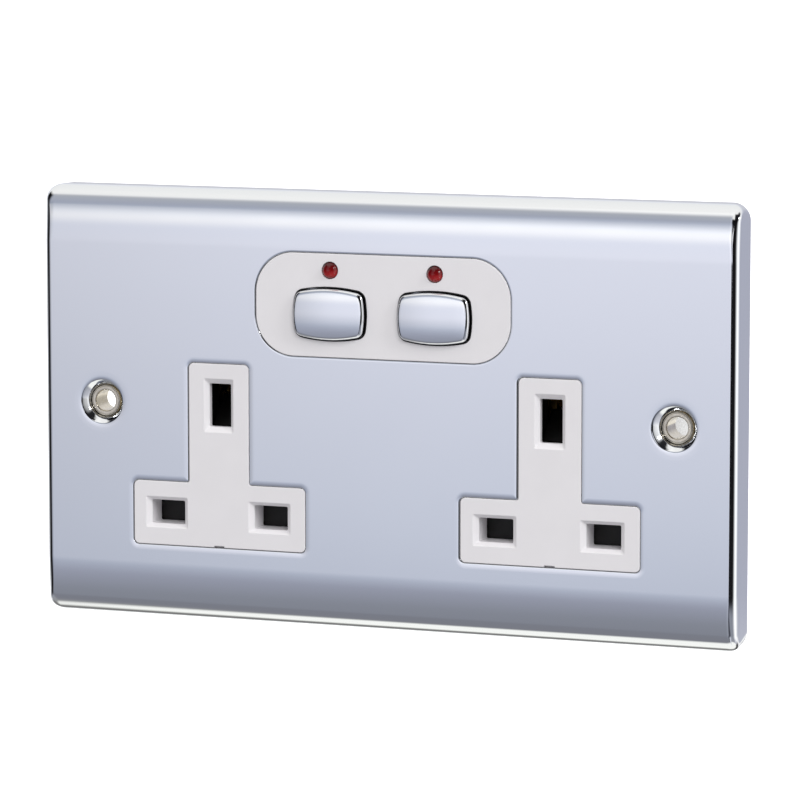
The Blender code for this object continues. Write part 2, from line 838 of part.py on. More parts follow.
def make_earth_strap():
    """One strip from fixing bush to fixing bush, dropping behind the earth pins."""
    eye = -(bush_end + brass / 2)
    hat = strap_level + brass / 2
    right = [
        (hat_half - hat_flank, hat), (hat_half, earth_level),
        (joggle_in, earth_level), (joggle_out, eye), (fixing_centres / 2 + earth_eye, eye),
    ]
    path = [(-x, y) for x, y in reversed(right)] + right
    width = around(0.0, earth_width)
    strap = prism("earth_strap", bent_strip(path, brass), *width, brass_look, axis="z")
    inner = hat_half - hat_flank - brass / 2
    tab = block("terminal_tab", (-inner, inner), (strap_level, strap_back),
                (terminal_at - terminal_height / 2, -earth_width / 2 + brass), brass_look)
    add(strap, tab)
    for sign in (-1, 1):
        (x, z), _, _ = pins(sign)[0]
        half = earth_pin[0] / 2 + seat_gap
        depth = (earth_level - brass, earth_level + brass)
        high = around(z, earth_pin[1] + slot_ease)
        cut(strap, block("earth_window", around(x, 2 * half), depth, high, brass_look))
        end = earth_level + earth_grip
        middle = half + leaf / 2
        clip = [(x - middle, earth_level), (x - middle, end), (x + middle, end), (x + middle, earth_level)]
        grip = prism("earth_grip", bent_strip(clip, leaf), *around(z, earth_pin[1]), brass_look, axis="z")
        add(strap, grip)
        hole = bush_tube_width / 2 + seat_gap
        eye_space = [(hole, eye - brass), (hole, eye + brass)]
        cut(strap, turned("eye_space", eye_space, (sign * fixing_centres / 2, 0.0), brass_look))


def make_neutral_strap():
    """A bar under both sockets with a clip for each neutral pin and a tab to its terminal."""
    left, right = (pins(sign)[1][0][0] for sign in (-1, 1))
    depth = (strap_level, strap_back)
    bar = block("neutral_strap", (left + weld, right + grip_width / 2), depth,
                around(-strap_drop, strap_width), brass_look)
    bar_top = -strap_drop + strap_width / 2
    for x in (left, right):
        add(bar, grip_tab(x, bar_top - 2 * weld), flat_grip(x))
    tab = block("terminal_tab", around(terminals()[-1][1], terminal_width - brass), depth,
                (bar_top - 2 * weld, terminal_at + terminal_height / 2), brass_look)
    add(bar, tab)


def make_line_contact(sign):
    """A clip for a line pin with a tail up to the board."""
    x = pins(sign)[2][0][0]
    contact = grip_tab(x, terminal_at - terminal_height / 2)
    contact.name = side_name(sign) + "_line_contact"
    inward = (grip_width - tail_width) / 2
    tail = board_tail(x - inward, -pin_drop)
    add(contact, flat_grip(x), tail)


def make_supply_strap():
    """The strap from the line terminal up to the board."""
    x = terminals()[0][1]
    high = around(terminal_at, terminal_height)
    width = around(x, terminal_width - brass)
    strap = block("line_supply_strap", width, (strap_level, strap_back), high, brass_look)
    add(strap, board_tail(x, terminal_at))


def make_terminal(name, x):
    """A brass block with a square wire way and a screw from behind."""
    bore_at = terminal_front + wire_wall + wire_bore / 2
    high = around(terminal_at, terminal_height)
    body = block(name, around(x, terminal_width), (terminal_front, terminal_back), high, brass_look)
    way = (terminal_at - terminal_height / 2 - weld, terminal_at + terminal_height / 2 + weld)
    cut(body, block("wire_way", around(x, wire_bore), around(bore_at, wire_bore), way, brass_look))
    thread = terminal_screw / 2 + seat_gap
    bore_end = bore_at + wire_bore / 2
    hole = [(thread, bore_end - weld), (thread, terminal_back + weld)]
    cut(body, turned("screw_hole", hole, (x, terminal_at), brass_look, steps=screw_steps))
    head_front = terminal_back + seat_gap
    profile = [
        (terminal_screw / 2, bore_end + seat_gap), (terminal_screw / 2, head_front),
        (terminal_head / 2, head_front), (terminal_head / 2, head_front + terminal_head_thick),
    ]
    screw = turned(name + "_screw", profile, (x, terminal_at), brass_look, steps=small_steps)
    head_back = head_front + terminal_head_thick
    groove = block(
        "driver_groove", around(x, terminal_head + weld), (head_back - driver_slot[1], head_back + weld),
        around(terminal_at, driver_slot[0]), brass_look,
    )
    cut(screw, groove)


# Circuit board and its components

def box_part(name, centre, size, look, lead_in=part_front):
    """A block standing behind the board on a centre (x, z); size is x, depth, z."""
    block(name, around(centre[0], size[0]), (lead_in, lead_in + size[1]), around(centre[1], size[2]), look)


def make_board():
    block("circuit_board", around(0.0, board_width), (board_front, board_back), (board_bottom, board_top),
          board_green)
    for sign in (-1, 1):
        side = side_name(sign)
        x = sign * button_spread / 2
        tact = block(side + "_tact_switch", around(x, tact_width), (switch_front, switch_back),
                     around(button_height_at, tact_width), dark_part)
        well = plunger_width / 2 + slide_gap
        well_end = switch_front + plunger_sunk + seat_gap + button_travel
        centre = (x, button_height_at)
        cut(tact, turned("plunger_well", [(well, switch_front - weld), (well, well_end)], centre, dark_part))
        profile = [(plunger_width / 2, plunger_front), (plunger_width / 2, switch_front + plunger_sunk)]
        plunger = turned(side + "_switch_plunger", profile, centre, steel, steps=small_steps)
        put_origin(plunger, (x, plunger_front, button_height_at))
        box_part(side + "_relay", (sign * relay_centre[0], relay_centre[1]), relay_size, dark_part)
    box_part("suppression_capacitor", capacitor_centre, capacitor_size, yellow_part)
    box_part("supply_transformer", transformer_centre, transformer_size, dark_part)
    box_part("control_chip", chip_centre, chip_size, dark_part)
    box_part("radio_module", radio_centre, radio_size, steel, switch_back - radio_size[1])
    can = [(electrolytic_width / 2, part_front), (electrolytic_width / 2, part_front + electrolytic_height)]
    turned("electrolytic_capacitor", can, electrolytic_centre, dark_part)
    disc = rounded_box(varistor_width, varistor_width, varistor_width * 0.45,
                       (varistor_centre[0], part_front + varistor_width / 2))
    prism("varistor", disc, *around(varistor_centre[1], varistor_thick), blue_part, axis="z")


# Rear housing

def make_housing():
    """A box open to the carrier, with screw wells, pillars behind the contacts and a wire bay."""
    chamfer_front = housing_back - housing_chamfer
    outer = rounded_box(housing_width, housing_height, housing_corner)
    rear = rounded_box(housing_width - 2 * housing_chamfer, housing_height - 2 * housing_chamfer,
                       housing_corner)
    levels = [(housing_front, outer), (chamfer_front, outer), (housing_back, rear)]
    housing = sections("rear_housing", levels, grey)
    inside = rounded_box(housing_width - 2 * housing_wall, housing_height - 2 * housing_wall,
                         housing_corner - housing_wall / 2)
    cut(housing, prism("housing_space", inside, housing_front - weld, floor_front, grey))
    for spot in screw_spots():
        low = boss_end + seat_gap
        room = [(boss_width / 2 + seat_gap, housing_front - weld), (boss_width / 2 + seat_gap, low)]
        cut(housing, turned("boss_room", room, spot, grey, steps=small_steps))
        post = [(well_width / 2, low), (well_width / 2, chamfer_front)]
        add(housing, turned("screw_well", post, spot, grey, steps=small_steps))
        shank, head = screw_shank / 2 + seat_gap, screw_head / 2 + seat_gap
        bore = [(shank, low - weld), (shank, screw_seat), (head, screw_seat), (head, housing_back + weld)]
        cut(housing, turned("well_bore", bore, spot, grey, steps=small_steps))
    for sign in (-1, 1):
        for (x, z), _, _ in pins(sign):
            top = strap_back + seat_gap
            if z == 0.0:
                top = earth_level + earth_grip + leaf / 2 + seat_gap
            rest = (around(x, pillar), (top, floor_front + weld), around(z, pillar))
            add(housing, block("contact_pillar", *rest, grey))
    bay_top = terminal_at - terminal_height / 2 - seat_gap
    bay = block("wire_bay", around(0.0, bay_width), (terminal_front, housing_back + weld),
                (-housing_height / 2 - weld, bay_top), grey)
    cut(housing, bay)
    for _, x in terminals():
        hole = [(access_width / 2, floor_front - weld), (access_width / 2, housing_back + weld)]
        cut(housing, turned("screw_access", hole, (x, terminal_at), grey, steps=small_steps))


def make_housing_screws():
    for number, spot in enumerate(screw_spots(), 1):
        head_front = screw_seat + seat_gap
        profile = [
            (screw_shank / 2, carrier_back + seat_gap), (screw_shank / 2, head_front),
            (screw_head / 2, head_front), (screw_head / 2, head_front + screw_head_thick),
        ]
        screw = turned("housing_screw_%d" % number, profile, spot, steel, steps=screw_steps)
        head_back = head_front + screw_head_thick
        depth = (head_back - driver_slot[1], head_back + weld)
        for wide, high in ((cross_length, cross_width), (cross_width, cross_length)):
            cut(screw, block("cross_groove", around(spot[0], wide), depth, around(spot[1], high), steel))


make_faceplate()
for sign in (-1, 1):
    make_insert(sign)
    make_button(sign)
    make_led(sign)
    make_bush(sign)
    make_shutter(sign)
    make_spring(sign)
    make_line_contact(sign)
make_switch_panel()
make_carrier()
make_earth_strap()
make_neutral_strap()
make_supply_strap()
for name, x in terminals():
    make_terminal(name, x)
make_board()
make_housing()
make_housing_screws()
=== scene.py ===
import json
import math

import bmesh
import bpy
import numpy as np
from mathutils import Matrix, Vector
from mathutils.geometry import delaunay_2d_cdt


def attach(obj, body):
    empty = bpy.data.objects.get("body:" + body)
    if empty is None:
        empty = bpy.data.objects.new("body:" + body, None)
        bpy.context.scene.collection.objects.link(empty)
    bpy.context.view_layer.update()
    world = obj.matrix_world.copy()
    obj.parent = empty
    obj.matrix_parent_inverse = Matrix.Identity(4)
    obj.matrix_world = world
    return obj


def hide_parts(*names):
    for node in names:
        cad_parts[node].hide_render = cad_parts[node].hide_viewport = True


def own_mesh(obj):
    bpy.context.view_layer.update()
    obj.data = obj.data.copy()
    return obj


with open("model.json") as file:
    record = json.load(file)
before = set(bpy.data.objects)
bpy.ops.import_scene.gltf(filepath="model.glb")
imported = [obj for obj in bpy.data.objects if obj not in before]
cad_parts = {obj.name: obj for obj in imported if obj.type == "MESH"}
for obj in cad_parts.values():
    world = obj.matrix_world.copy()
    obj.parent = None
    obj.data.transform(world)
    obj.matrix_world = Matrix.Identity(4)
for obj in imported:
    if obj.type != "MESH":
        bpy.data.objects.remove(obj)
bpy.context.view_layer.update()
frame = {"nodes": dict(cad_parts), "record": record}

# Every length below is in millimetres, in the frame of the CAD model: the wall is y = 0,
# the front faces -y, and x = z = 0 lies midway between the fixing holes.
mm = 0.001
sides = {"left": -1, "right": 1}


# Colours and nodes

def linear(hexColour):
    # sRGB hex to linear colour: below 0.04045 a straight line, above it a power of 2.4
    parts = np.array([int(hexColour[i:i + 2], 16) / 255 for i in (0, 2, 4)])
    curved = ((parts + 0.055) / 1.055) ** 2.4
    return tuple(np.where(parts <= 0.04045, parts / 12.92, curved)) + (1.0,)


def addNode(tree, kind, settings=None, links=None):
    # one node with its settings (attributes, sockets, or a ramp's stops as {position: hex colour})
    # and its links as {socket: (node, output)}
    node = tree.nodes.new(kind)
    for name, value in (settings or {}).items():
        if name == "stops":
            elements = node.color_ramp.elements
            for index, (position, hexColour) in enumerate(sorted(value.items())):
                element = elements[index] if index < 2 else elements.new(position)
                element.position, element.color = position, linear(hexColour)
        elif isinstance(name, str) and hasattr(node, name):
            setattr(node, name, value)
        else:
            node.inputs[name].default_value = value
    for name, (source, output) in (links or {}).items():
        tree.links.new(source.outputs[output], node.inputs[name])
    return node


def newLook(name, hexColour, roughness, metallic=0.0, **sockets):
    # a material with its even values on the shader's own sockets
    look = bpy.data.materials.new(name)
    look.use_nodes = True
    shader = look.node_tree.nodes["Principled BSDF"]
    shader.inputs["Base Color"].default_value = linear(hexColour)
    shader.inputs["Roughness"].default_value = roughness
    shader.inputs["Metallic"].default_value = metallic
    for socket, value in sockets.items():
        shader.inputs[socket.replace("_", " ")].default_value = value
    return look, look.node_tree, shader


# Camera and studio

view = {
    "lens": 214.37, "sensor": 36.0,
    "azimuth": 20.574,         # degrees from straight ahead, to the right
    "elevation": 7.255,
    "distance": 937.05,        # from the target
    "target": (3.792, -8.0, 3.16),
    "clip": (50.0, 100000.0),
    "exposure": 0.0,
}


def makeCamera():
    # it stands its distance away from the target, on the line that the two angles give
    azimuth, elevation = math.radians(view["azimuth"]), math.radians(view["elevation"])
    back = Vector((
        math.sin(azimuth) * math.cos(elevation),
        -math.cos(azimuth) * math.cos(elevation),
        math.sin(elevation),
    ))
    data = bpy.data.cameras.new("camera")
    data.lens, data.sensor_width = view["lens"], view["sensor"]
    data.clip_start, data.clip_end = (end * mm for end in view["clip"])
    camera = bpy.data.objects.new("camera", data)
    camera.location = (Vector(view["target"]) + back * view["distance"]) * mm
    camera.rotation_mode = "QUATERNION"
    camera.rotation_quaternion = (-back).to_track_quat("-Z", "Y")
    bpy.context.scene.collection.objects.link(camera)
    bpy.context.scene.camera = camera
    settings = bpy.context.scene.view_settings
    settings.view_transform, settings.look = "Standard", "None"
    settings.exposure = view["exposure"]


# What a polished surface sees all round: upright screens, each {elevation in degrees: colour}
screens = {
    # the sweep in front of the plate: white table at its foot, dark skirt, pale blue-grey sheet, a
    # strip light on the horizon, a grey wall, and the white ceiling
    "front": {-90: "E7E7E2", -70: "E7E7E2", -60: "717279", -30: "71737B", -20: "7A7D86",
              -14: "8A8D9A", -10.4: "A2A7B5", -9: "B6BAC6", -7: "C2C4CF", -4.5: "D1D2DC",
              1: "CFD1DC", 3.8: "EDECEE", 5.4: "ECEDF2", 8: "A3A8B5", 20: "9599A5", 42: "9C9FA6",
              48: "ADAEB2", 55: "D2D2D2", 62: "EAE9E6", 90: "E2E1DE"},
    # the same sweep further left, where the strip light's glow fades
    "frontLeft": {-90: "E7E7E2", -70: "E7E7E2", -60: "717279", -30: "71737B", -20: "7A7D86",
                  -14: "8A8D9A", -10.4: "9297A4", -9: "9DA0AB", -7: "A3A5AE", -4.5: "B0B1B9",
                  1: "AEB0B9", 3.8: "C8C7C9", 5.4: "B4B5BA", 8: "8A8F9B", 20: "9599A5",
                  42: "9C9FA6", 48: "ADAEB2", 55: "D2D2D2", 62: "EAE9E6", 90: "E2E1DE"},
    # and its bright edge on the right, next to the flag
    "frontRight": {-90: "E7E7E2", -70: "E7E7E2", -60: "7B7D84", -30: "7B7E87", -20: "898C96",
                   -14: "9DA0AD", -10.4: "B4B9C7", -9: "C8CCD8", -7: "D6D8E2", -4.5: "E4E5EE",
                   1: "E4E6EF", 3.8: "FCFBFD", 5.4: "FCFDFF", 8: "B6BAC8", 20: "A8ACB8",
                   42: "AFB2B9", 48: "BCBDC1", 55: "D6D6D6", 62: "EAE9E6", 90: "E2E1DE"},
    # a dark card beside the camera, on the white table and under the ceiling
    "rightFlag": {-90: "E7E7E2", -66: "E7E7E2", -58: "1A1A1B", 34: "17171A", 44: "DFDEDB",
                  90: "E2E1DE"},
    # a gap in the flag, straight ahead of the plate, where the sweep shows through
    "middle": {-90: "E7E7E2", -60: "B9BBC2", -34: "B4B7C1", -27: "5A5C66", -14: "4A4C55",
               -11: "17171A", -5.0: "17171A", -3.8: "C9CBD6", 1: "CFD1DC", 3.8: "EDECEE",
               5.0: "EDECEE", 6.6: "17171A", 34: "0D0D0E", 44: "DFDEDB", 90: "E2E1DE"},
    # the card again, grey at its foot, and further right a bright sheet
    "rightSheet": {-90: "E7E7E2", -64: "E7E7E2", -56: "8A8C92", -16: "7C7F88", -13: "141416",
                   34: "0D0D0E", 44: "1C1C1E", 65: "1C1C1E", 73: "DFDEDB", 90: "E2E1DE"},
    "rightGlow": {-90: "E7E7E2", -66: "E7E7E2", -56: "B4B4BA", -30: "C8C8CE", -16: "F4F4F4",
                  36: "F4F4F4", 46: "2A2A2C", 65: "2A2A2C", 73: "DFDEDB", 90: "E2E1DE"},
    # the room behind the object, and on the left a dark card and the room again
    "rightBack": {-90: "E7E7E2", -66: "E7E7E2", -58: "454545", -34: "454545", -24: "DADADA",
                  -13: "DADADA", -10: "9A9CA9", 4: "9A9CA9", 14: "BCBEC6", 30: "D4D5D8",
                  45: "DADAD8", 90: "E2E1DE"},
    "leftFlag": {-90: "E7E7E2", -66: "E7E7E2", -58: "8A8A8A", -34: "85878E", -26: "5A5B60",
                 -18: "1A1A1C", 42: "0F0F10", 52: "DFDEDB", 90: "E2E1DE"},
    "leftBack": {-90: "E7E7E2", -66: "E7E7E2", -58: "7A7A77", -52: "6A6A68", -44: "6A6A68",
                 -34: "DADADA", -12: "ABACAE", 4: "AFB0B6", 14: "BCBEC6", 30: "D4D5D8",
                 45: "DADAD8", 90: "E2E1DE"},
}
studio = {
    # where one screen gives way to the next, in this order: degrees from the front, right positive
    "edges": {"frontLeft": (-19, -31), "frontRight": (-16.2, -12.5), "rightFlag": (-12, -8),
              "middle": (-6.6, -5.2), "rightSheet": (5.2, 7), "rightGlow": (44, 84),
              "rightBack": (88, 128), "leftFlag": (-34, -58), "leftBack": (-86, -100)},
    "polishedLevel": 1.42,     # brightness of the screens
    # a small bright box up at the right, from and to (azimuth, elevation): the highlight in the
    # indicators' domes
    "softbox": {"from": (68, 27), "to": (76, 34), "blend": 2, "level": 38.0},
    # what a matt surface sees, from straight down at 0 to straight up at 1
    "softStops": {0.0: "B0B0B3", 0.42: "C4C4C6", 0.58: "EEEDEC", 1.0: "FFFEFC"},
    "softLevel": 1.02,
    "backdropLevel": 1.1,      # the white that the camera sees behind the object
}


def makeStudio():
    # azimuth is the arc tangent of x over -y, and elevation the arc sine of z
    world = bpy.data.worlds.new("studio")
    world.use_nodes = True
    bpy.context.scene.world = world
    tree = world.node_tree
    tree.nodes.clear()
    direction = addNode(tree, "ShaderNodeTexCoord")
    axes = addNode(tree, "ShaderNodeSeparateXYZ", links={"Vector": (direction, "Generated")})
    elevation = addNode(tree, "ShaderNodeMath", {"operation": "ARCSINE"}, {0: (axes, "Z")})
    share = addNode(tree, "ShaderNodeMapRange",
                    {"From Min": -math.pi / 2, "From Max": math.pi / 2}, {"Value": (elevation, 0)})
    ahead = addNode(tree, "ShaderNodeMath", {"operation": "MULTIPLY", 1: -1.0}, {0: (axes, "Y")})
    azimuth = addNode(tree, "ShaderNodeMath", {"operation": "ARCTAN2"},
                      {0: (axes, "X"), 1: (ahead, 0)})

    box = studio["softbox"]
    spans = {name: (azimuth, *span) for name, span in studio["edges"].items()}
    boxSides = []
    for angle, low, high in zip((azimuth, elevation), box["from"], box["to"]):
        for start, end in ((low - box["blend"], low), (high + box["blend"], high)):
            boxSides.append(f"boxSide{len(boxSides)}")
            spans[boxSides[-1]] = (angle, start, end)
    weights = {}               # each rises smoothly from 0 at its span's start to 1 at its end
    for name, (angle, start, end) in spans.items():
        weights[name] = addNode(
            tree, "ShaderNodeMapRange",
            {"interpolation_type": "SMOOTHSTEP", "From Min": math.radians(min(start, end)),
             "From Max": math.radians(max(start, end)), "To Min": float(start > end),
             "To Max": float(start < end)},
            {"Value": (angle, 0)})

    ramps = {}
    for name, screen in screens.items():
        stops = {(degrees + 90) / 180: hexColour for degrees, hexColour in screen.items()}
        ramps[name] = addNode(tree, "ShaderNodeValToRGB", {"stops": stops}, {"Fac": (share, 0)})
    colour, output = ramps["front"], "Color"
    for name in studio["edges"]:
        links = {"Factor": (weights[name], 0), 6: (colour, output), 7: (ramps[name], "Color")}
        colour, output = addNode(tree, "ShaderNodeMix", {"data_type": "RGBA"}, links), 2
    polished = addNode(tree, "ShaderNodeBackground", {"Strength": studio["polishedLevel"]},
                       {"Color": (colour, output)})

    inBox = weights[boxSides[0]]
    for name in boxSides[1:]:
        inBox = addNode(tree, "ShaderNodeMath", {"operation": "MULTIPLY"},
                        {0: (inBox, 0), 1: (weights[name], 0)})
    bright = addNode(tree, "ShaderNodeBackground", {"Strength": box["level"]})
    glossy = addNode(tree, "ShaderNodeMixShader",
                     links={0: (inBox, 0), 1: (polished, 0), 2: (bright, 0)})

    softColour = addNode(tree, "ShaderNodeValToRGB", {"stops": studio["softStops"]},
                         {"Fac": (share, 0)})
    soft = addNode(tree, "ShaderNodeBackground", {"Strength": studio["softLevel"]},
                   {"Color": (softColour, "Color")})
    backdrop = addNode(tree, "ShaderNodeBackground",
                       {"Color": (1, 1, 1, 1), "Strength": studio["backdropLevel"]})
    ray = addNode(tree, "ShaderNodeLightPath")
    lit = addNode(tree, "ShaderNodeMixShader",
                  links={0: (ray, "Is Diffuse Ray"), 1: (glossy, 0), 2: (soft, 0)})
    seen = addNode(tree, "ShaderNodeMixShader",
                   links={0: (ray, "Is Camera Ray"), 1: (lit, 0), 2: (backdrop, 0)})
    addNode(tree, "ShaderNodeOutputWorld", links={"Surface": (seen, 0)})


keyLamp = {"place": (620, -760, 720), "size": 420, "power": 4.4}


def makeLamp():
    # a square panel that polished surfaces don't see, looking along the line from its place to
    # the plate's middle
    data =bpy.data.lights.new("keyPanel", "AREA")
    data.size, data.energy = keyLamp["size"] * mm, keyLamp["power"]
    lamp = bpy.data.objects.new("keyPanel", data)
    lamp.location = Vector(keyLamp["place"]) * mm
    lamp.rotation_mode = "QUATERNION"
    lamp.rotation_quaternion = (-lamp.location).to_track_quat("-Z", "Y")
    lamp.visible_glossy = lamp.visible_camera = False
    bpy.context.scene.collection.objects.link(lamp)


studioFloor = {"half": 9000.0, "height": -260.0, "colour": "F6F6F6", "roughness": 0.9, "glow": 0.7}


def makeFloor():
    # a pale square below the object, which metal and mouldings don't see
    half, height = studioFloor["half"] * mm, studioFloor["height"] * mm
    corners = [(-half, -half, height), (half, -half, height), (half, half, height),
               (-half, half, height)]
    mesh = bpy.data.meshes.new("floor")
    mesh.from_pydata(corners, [], [(0, 1, 2, 3)])
    floor = bpy.data.objects.new("floor", mesh)
    bpy.context.scene.collection.objects.link(floor)
    floor.visible_glossy = floor.visible_diffuse = False
    look, *_ = newLook("pale studio floor", studioFloor["colour"], studioFloor["roughness"],
                       Emission_Color=(1, 1, 1, 1), Emission_Strength=studioFloor["glow"])
    mesh.materials.append(look)


makeCamera()
makeStudio()
makeLamp()
makeFloor()
print("camera and studio ready")


# Finishes: each starts from what the real surface is and how it was made. The grains of mouldings
# and sheets are finer on the real ones; here they are drawn as coarse as they need to be to show.

def addGrain(tree, shader, size, depth, detail=2.0, stretch=(1, 1, 1)):
    # a bump of noise whose grains are about size mm across and depth mm deep
    coords = addNode(tree, "ShaderNodeTexCoord")
    scaled = addNode(tree, "ShaderNodeMapping", {"Scale": stretch}, {"Vector": (coords, "Object")})
    noise = addNode(tree, "ShaderNodeTexNoise", {"Scale": 1 / (size * mm), "Detail": detail},
                    {"Vector": (scaled, 0)})
    bump = addNode(tree, "ShaderNodeBump", {"Strength": 1.0, "Distance": depth * mm},
                   {"Height": (noise, 0)})
    tree.links.new(bump.outputs[0], shader.inputs["Normal"])


noiseSpan = (0.35, 0.65)       # nearly all of the noise's values lie between these


def mottle(tree, shader, socket, low, high, size):
    # a socket that wanders between two values or two colours over patches of about size mm
    start, end = noiseSpan
    coords = addNode(tree, "ShaderNodeTexCoord")
    noise = addNode(tree, "ShaderNodeTexNoise", {"Scale": 1 / (size * mm), "Detail": 2.0},
                    {"Vector": (coords, "Object")})
    if isinstance(low, str):
        wander = addNode(tree, "ShaderNodeValToRGB", {"stops": {start: low, end: high}},
                         {"Fac": (noise, 0)})
    else:
        wander = addNode(tree, "ShaderNodeMapRange",
                         {"From Min": start, "From Max": end, "To Min": low, "To Max": high},
                         {"Value": (noise, 0)})
    tree.links.new(wander.outputs[0], shader.inputs[socket])


def chromedPlateLook():
    # decorative chromium over polished nickel on pressed steel: a cold mirror, faintly uneven
    look, tree, shader = newLook("chromium plated pressed steel", "E8EAED", 0.07, 1.0)
    mottle(tree, shader, "Roughness", 0.060, 0.085, 18)
    addGrain(tree, shader, 14, 0.0012, detail=1.0)       # the press's slow waviness
    return look


def chromedButtonLook():
    # plated ABS moulding: the same cold mirror, a little softer
    look, tree, shader = newLook("chromium plated moulding", "E8EAED", 0.09, 1.0)
    mottle(tree, shader, "Roughness", 0.08, 0.10, 5)
    addGrain(tree, shader, 4, 0.0006, detail=1.0)
    return look


def whiteMouldingLook():
    # urea thermoset pressed in a polished tool: dense white with a soft gloss
    look, tree, shader = newLook("white urea moulding", "E4E2E5", 0.30, Specular_IOR_Level=0.45)
    mottle(tree, shader, "Base Color", "E3E1E4", "E5E3E6", 6)
    mottle(tree, shader, "Roughness", 0.29, 0.32, 3)
    addGrain(tree, shader, 0.5, 0.0012)
    return look


lens = {
    "top": 29.9, "foot": 26.6,         # heights of the dome's upper and lower edge
    # light from above crosses the dome and gathers near its foot, painted into the base colour as
    # painted light: share of the way down
    "stops": {0.15: "4A0A0D", 0.45: "6E0E12", 0.75: "A8181B", 1.0: "8A1216"},
}


def lensLook():
    # tinted epoxy dome of an unlit indicator: deep red with a clear gloss, its base colour darker
    # at the top and brighter towards the foot as painted light
    look, tree, shader = newLook("red tinted epoxy lens", "6A0D10", 0.02, Specular_IOR_Level=0.45)
    coords = addNode(tree, "ShaderNodeTexCoord")
    place = addNode(tree, "ShaderNodeSeparateXYZ", links={"Vector": (coords, "Object")})
    down = addNode(tree, "ShaderNodeMapRange",
                   {"From Min": lens["top"] * mm, "From Max": lens["foot"] * mm},
                   {"Value": (place, "Z")})
    colour = addNode(tree, "ShaderNodeValToRGB", {"stops": lens["stops"]}, {"Fac": (down, 0)})
    tree.links.new(colour.outputs["Color"], shader.inputs["Base Color"])
    return look


def bushLook():
    # turned brass under a bright nickel plate: a warm mirror, slightly blurred by the turning
    look, tree, shader = newLook("nickel plated turned brass", "DED5C2", 0.20, 1.0)
    mottle(tree, shader, "Base Color", "D9CFBB", "E3DBC9", 1.2)
    mottle(tree, shader, "Roughness", 0.16, 0.24, 0.8)
    return look


def plasticLook(name, hexLow, hexHigh, roughness, grain, depth):
    # moulded thermoplastic from a spark-eroded tool: even colour, fine matt grain
    look, tree, shader = newLook(name, hexLow, roughness)
    mottle(tree, shader, "Base Color", hexLow, hexHigh, 9)
    addGrain(tree, shader, grain, depth)
    return look


def metalLook(name, hexLow, hexHigh, roughLow, roughHigh, patch, grain, stretch=(1, 1, 1)):
    # sheet or turned metal: colour and gloss wander a little, rolling marks along one way
    look, tree, shader = newLook(name, hexLow, roughLow, 1.0)
    mottle(tree, shader, "Base Color", hexLow, hexHigh, patch)
    mottle(tree, shader, "Roughness", roughLow, roughHigh, patch / 2)
    addGrain(tree, shader, grain, 0.003, stretch=stretch)
    return look


looks = {
    "plate_chrome": chromedPlateLook(),
    "white_moulding": whiteMouldingLook(),
    "button_chrome": chromedButtonLook(),
    "red_lens": lensLook(),
    "bush_nickel": bushLook(),
    # name, two colours, roughness, size and depth of the grain
    "black_plastic": plasticLook("black acetal moulding", "0B0A0A", "100F0E", 0.6, 0.4, 0.003),
    # painted shade: the contact carrier in the dark cavity behind the slots is painted near black
    "carrier_plastic": plasticLook("carrier moulding painted as shade", "09090A", "0D0D0E",
                                   0.48, 0.35, 0.004),
    "housing_plastic": plasticLook("white polyamide moulding", "F4F4F2", "F8F8F6",
                                   0.50, 0.45, 0.006),
    # name, two colours, two roughnesses, size of the patches and of the grain, its stretch
    "brass": metalLook("pressed brass sheet", "C9A35A", "D6B36C", 0.24, 0.36, 3, 0.25,
                       (0.25, 2, 2)),
    "steel": metalLook("zinc plated steel", "B4B8BC", "C6C8C6", 0.26, 0.38, 2, 0.2),
    "board_laminate": plasticLook("green circuit board laminate", "1F5A38", "256642",
                                  0.34, 0.6, 0.004),
    "component_plastic": plasticLook("dark epoxy component case", "1B1B1D", "222224",
                                     0.42, 0.3, 0.004),
    "capacitor_case": plasticLook("yellow polyester case", "C9A02C", "D2AB3A", 0.35, 0.5, 0.003),
    "varistor_coating": plasticLook("blue dipped epoxy coating", "26508F", "2D5A9C",
                                    0.30, 1.2, 0.02),
}
for part in frame["record"]["subparts"]:
    for materialSlot in frame["nodes"][part["node"]].material_slots:
        materialSlot.material = looks[part["material_slot"]]
print("finishes ready:", len(looks))


# Mesh building: a patch is (points in mm, faces, smooth); patches that share edges are welded

def gridFaces(rows, columns):
    # quads between neighbouring rows, each row a closed ring of so many columns
    row = np.arange(rows - 1)[:, None] * columns
    here, after = row + np.arange(columns), row + (np.arange(columns) + 1) % columns
    return np.stack([here, after, after + columns, here + columns], -1).reshape(-1, 4)


def roundedLoop(corners, radii, steps=12, lead=0.35):
    # each corner becomes an arc tangent to both sides, its centre on the bisector at radius /
    # sin(half angle), with one more point a lead away on either side; leading axes are kept
    corners, radii = np.asarray(corners, float), np.asarray(radii, float)[..., None]
    back = np.roll(corners, 1, -2) - corners
    ahead = np.roll(corners, -1, -2) - corners
    back /= np.linalg.norm(back, axis=-1, keepdims=True)
    ahead /= np.linalg.norm(ahead, axis=-1, keepdims=True)
    half = np.arccos(np.clip((back * ahead).sum(-1, keepdims=True), -1, 1)) / 2
    middle = back + ahead
    middle /= np.linalg.norm(middle, axis=-1, keepdims=True)
    centre = corners + middle * radii / np.sin(half)
    start = corners + back * radii / np.tan(half) - centre
    end = corners + ahead * radii / np.tan(half) - centre
    cross = start[..., 0] * end[..., 1] - start[..., 1] * end[..., 0]
    turn = np.arctan2(cross, (start * end).sum(-1))
    angle = turn[..., None] * np.linspace(0, 1, steps + 1)
    cos, sin = np.cos(angle), np.sin(angle)
    arc = np.stack([
        centre[..., None, 0] + start[..., None, 0] * cos - start[..., None, 1] * sin,
        centre[..., None, 1] + start[..., None, 0] * sin + start[..., None, 1] * cos,
    ], -1)
    first = (centre + start + back * lead)[..., None, :]
    last = (centre + end + ahead * lead)[..., None, :]
    points = np.concatenate([first, arc, last], -2)
    return points.reshape(*points.shape[:-3], -1, 2)


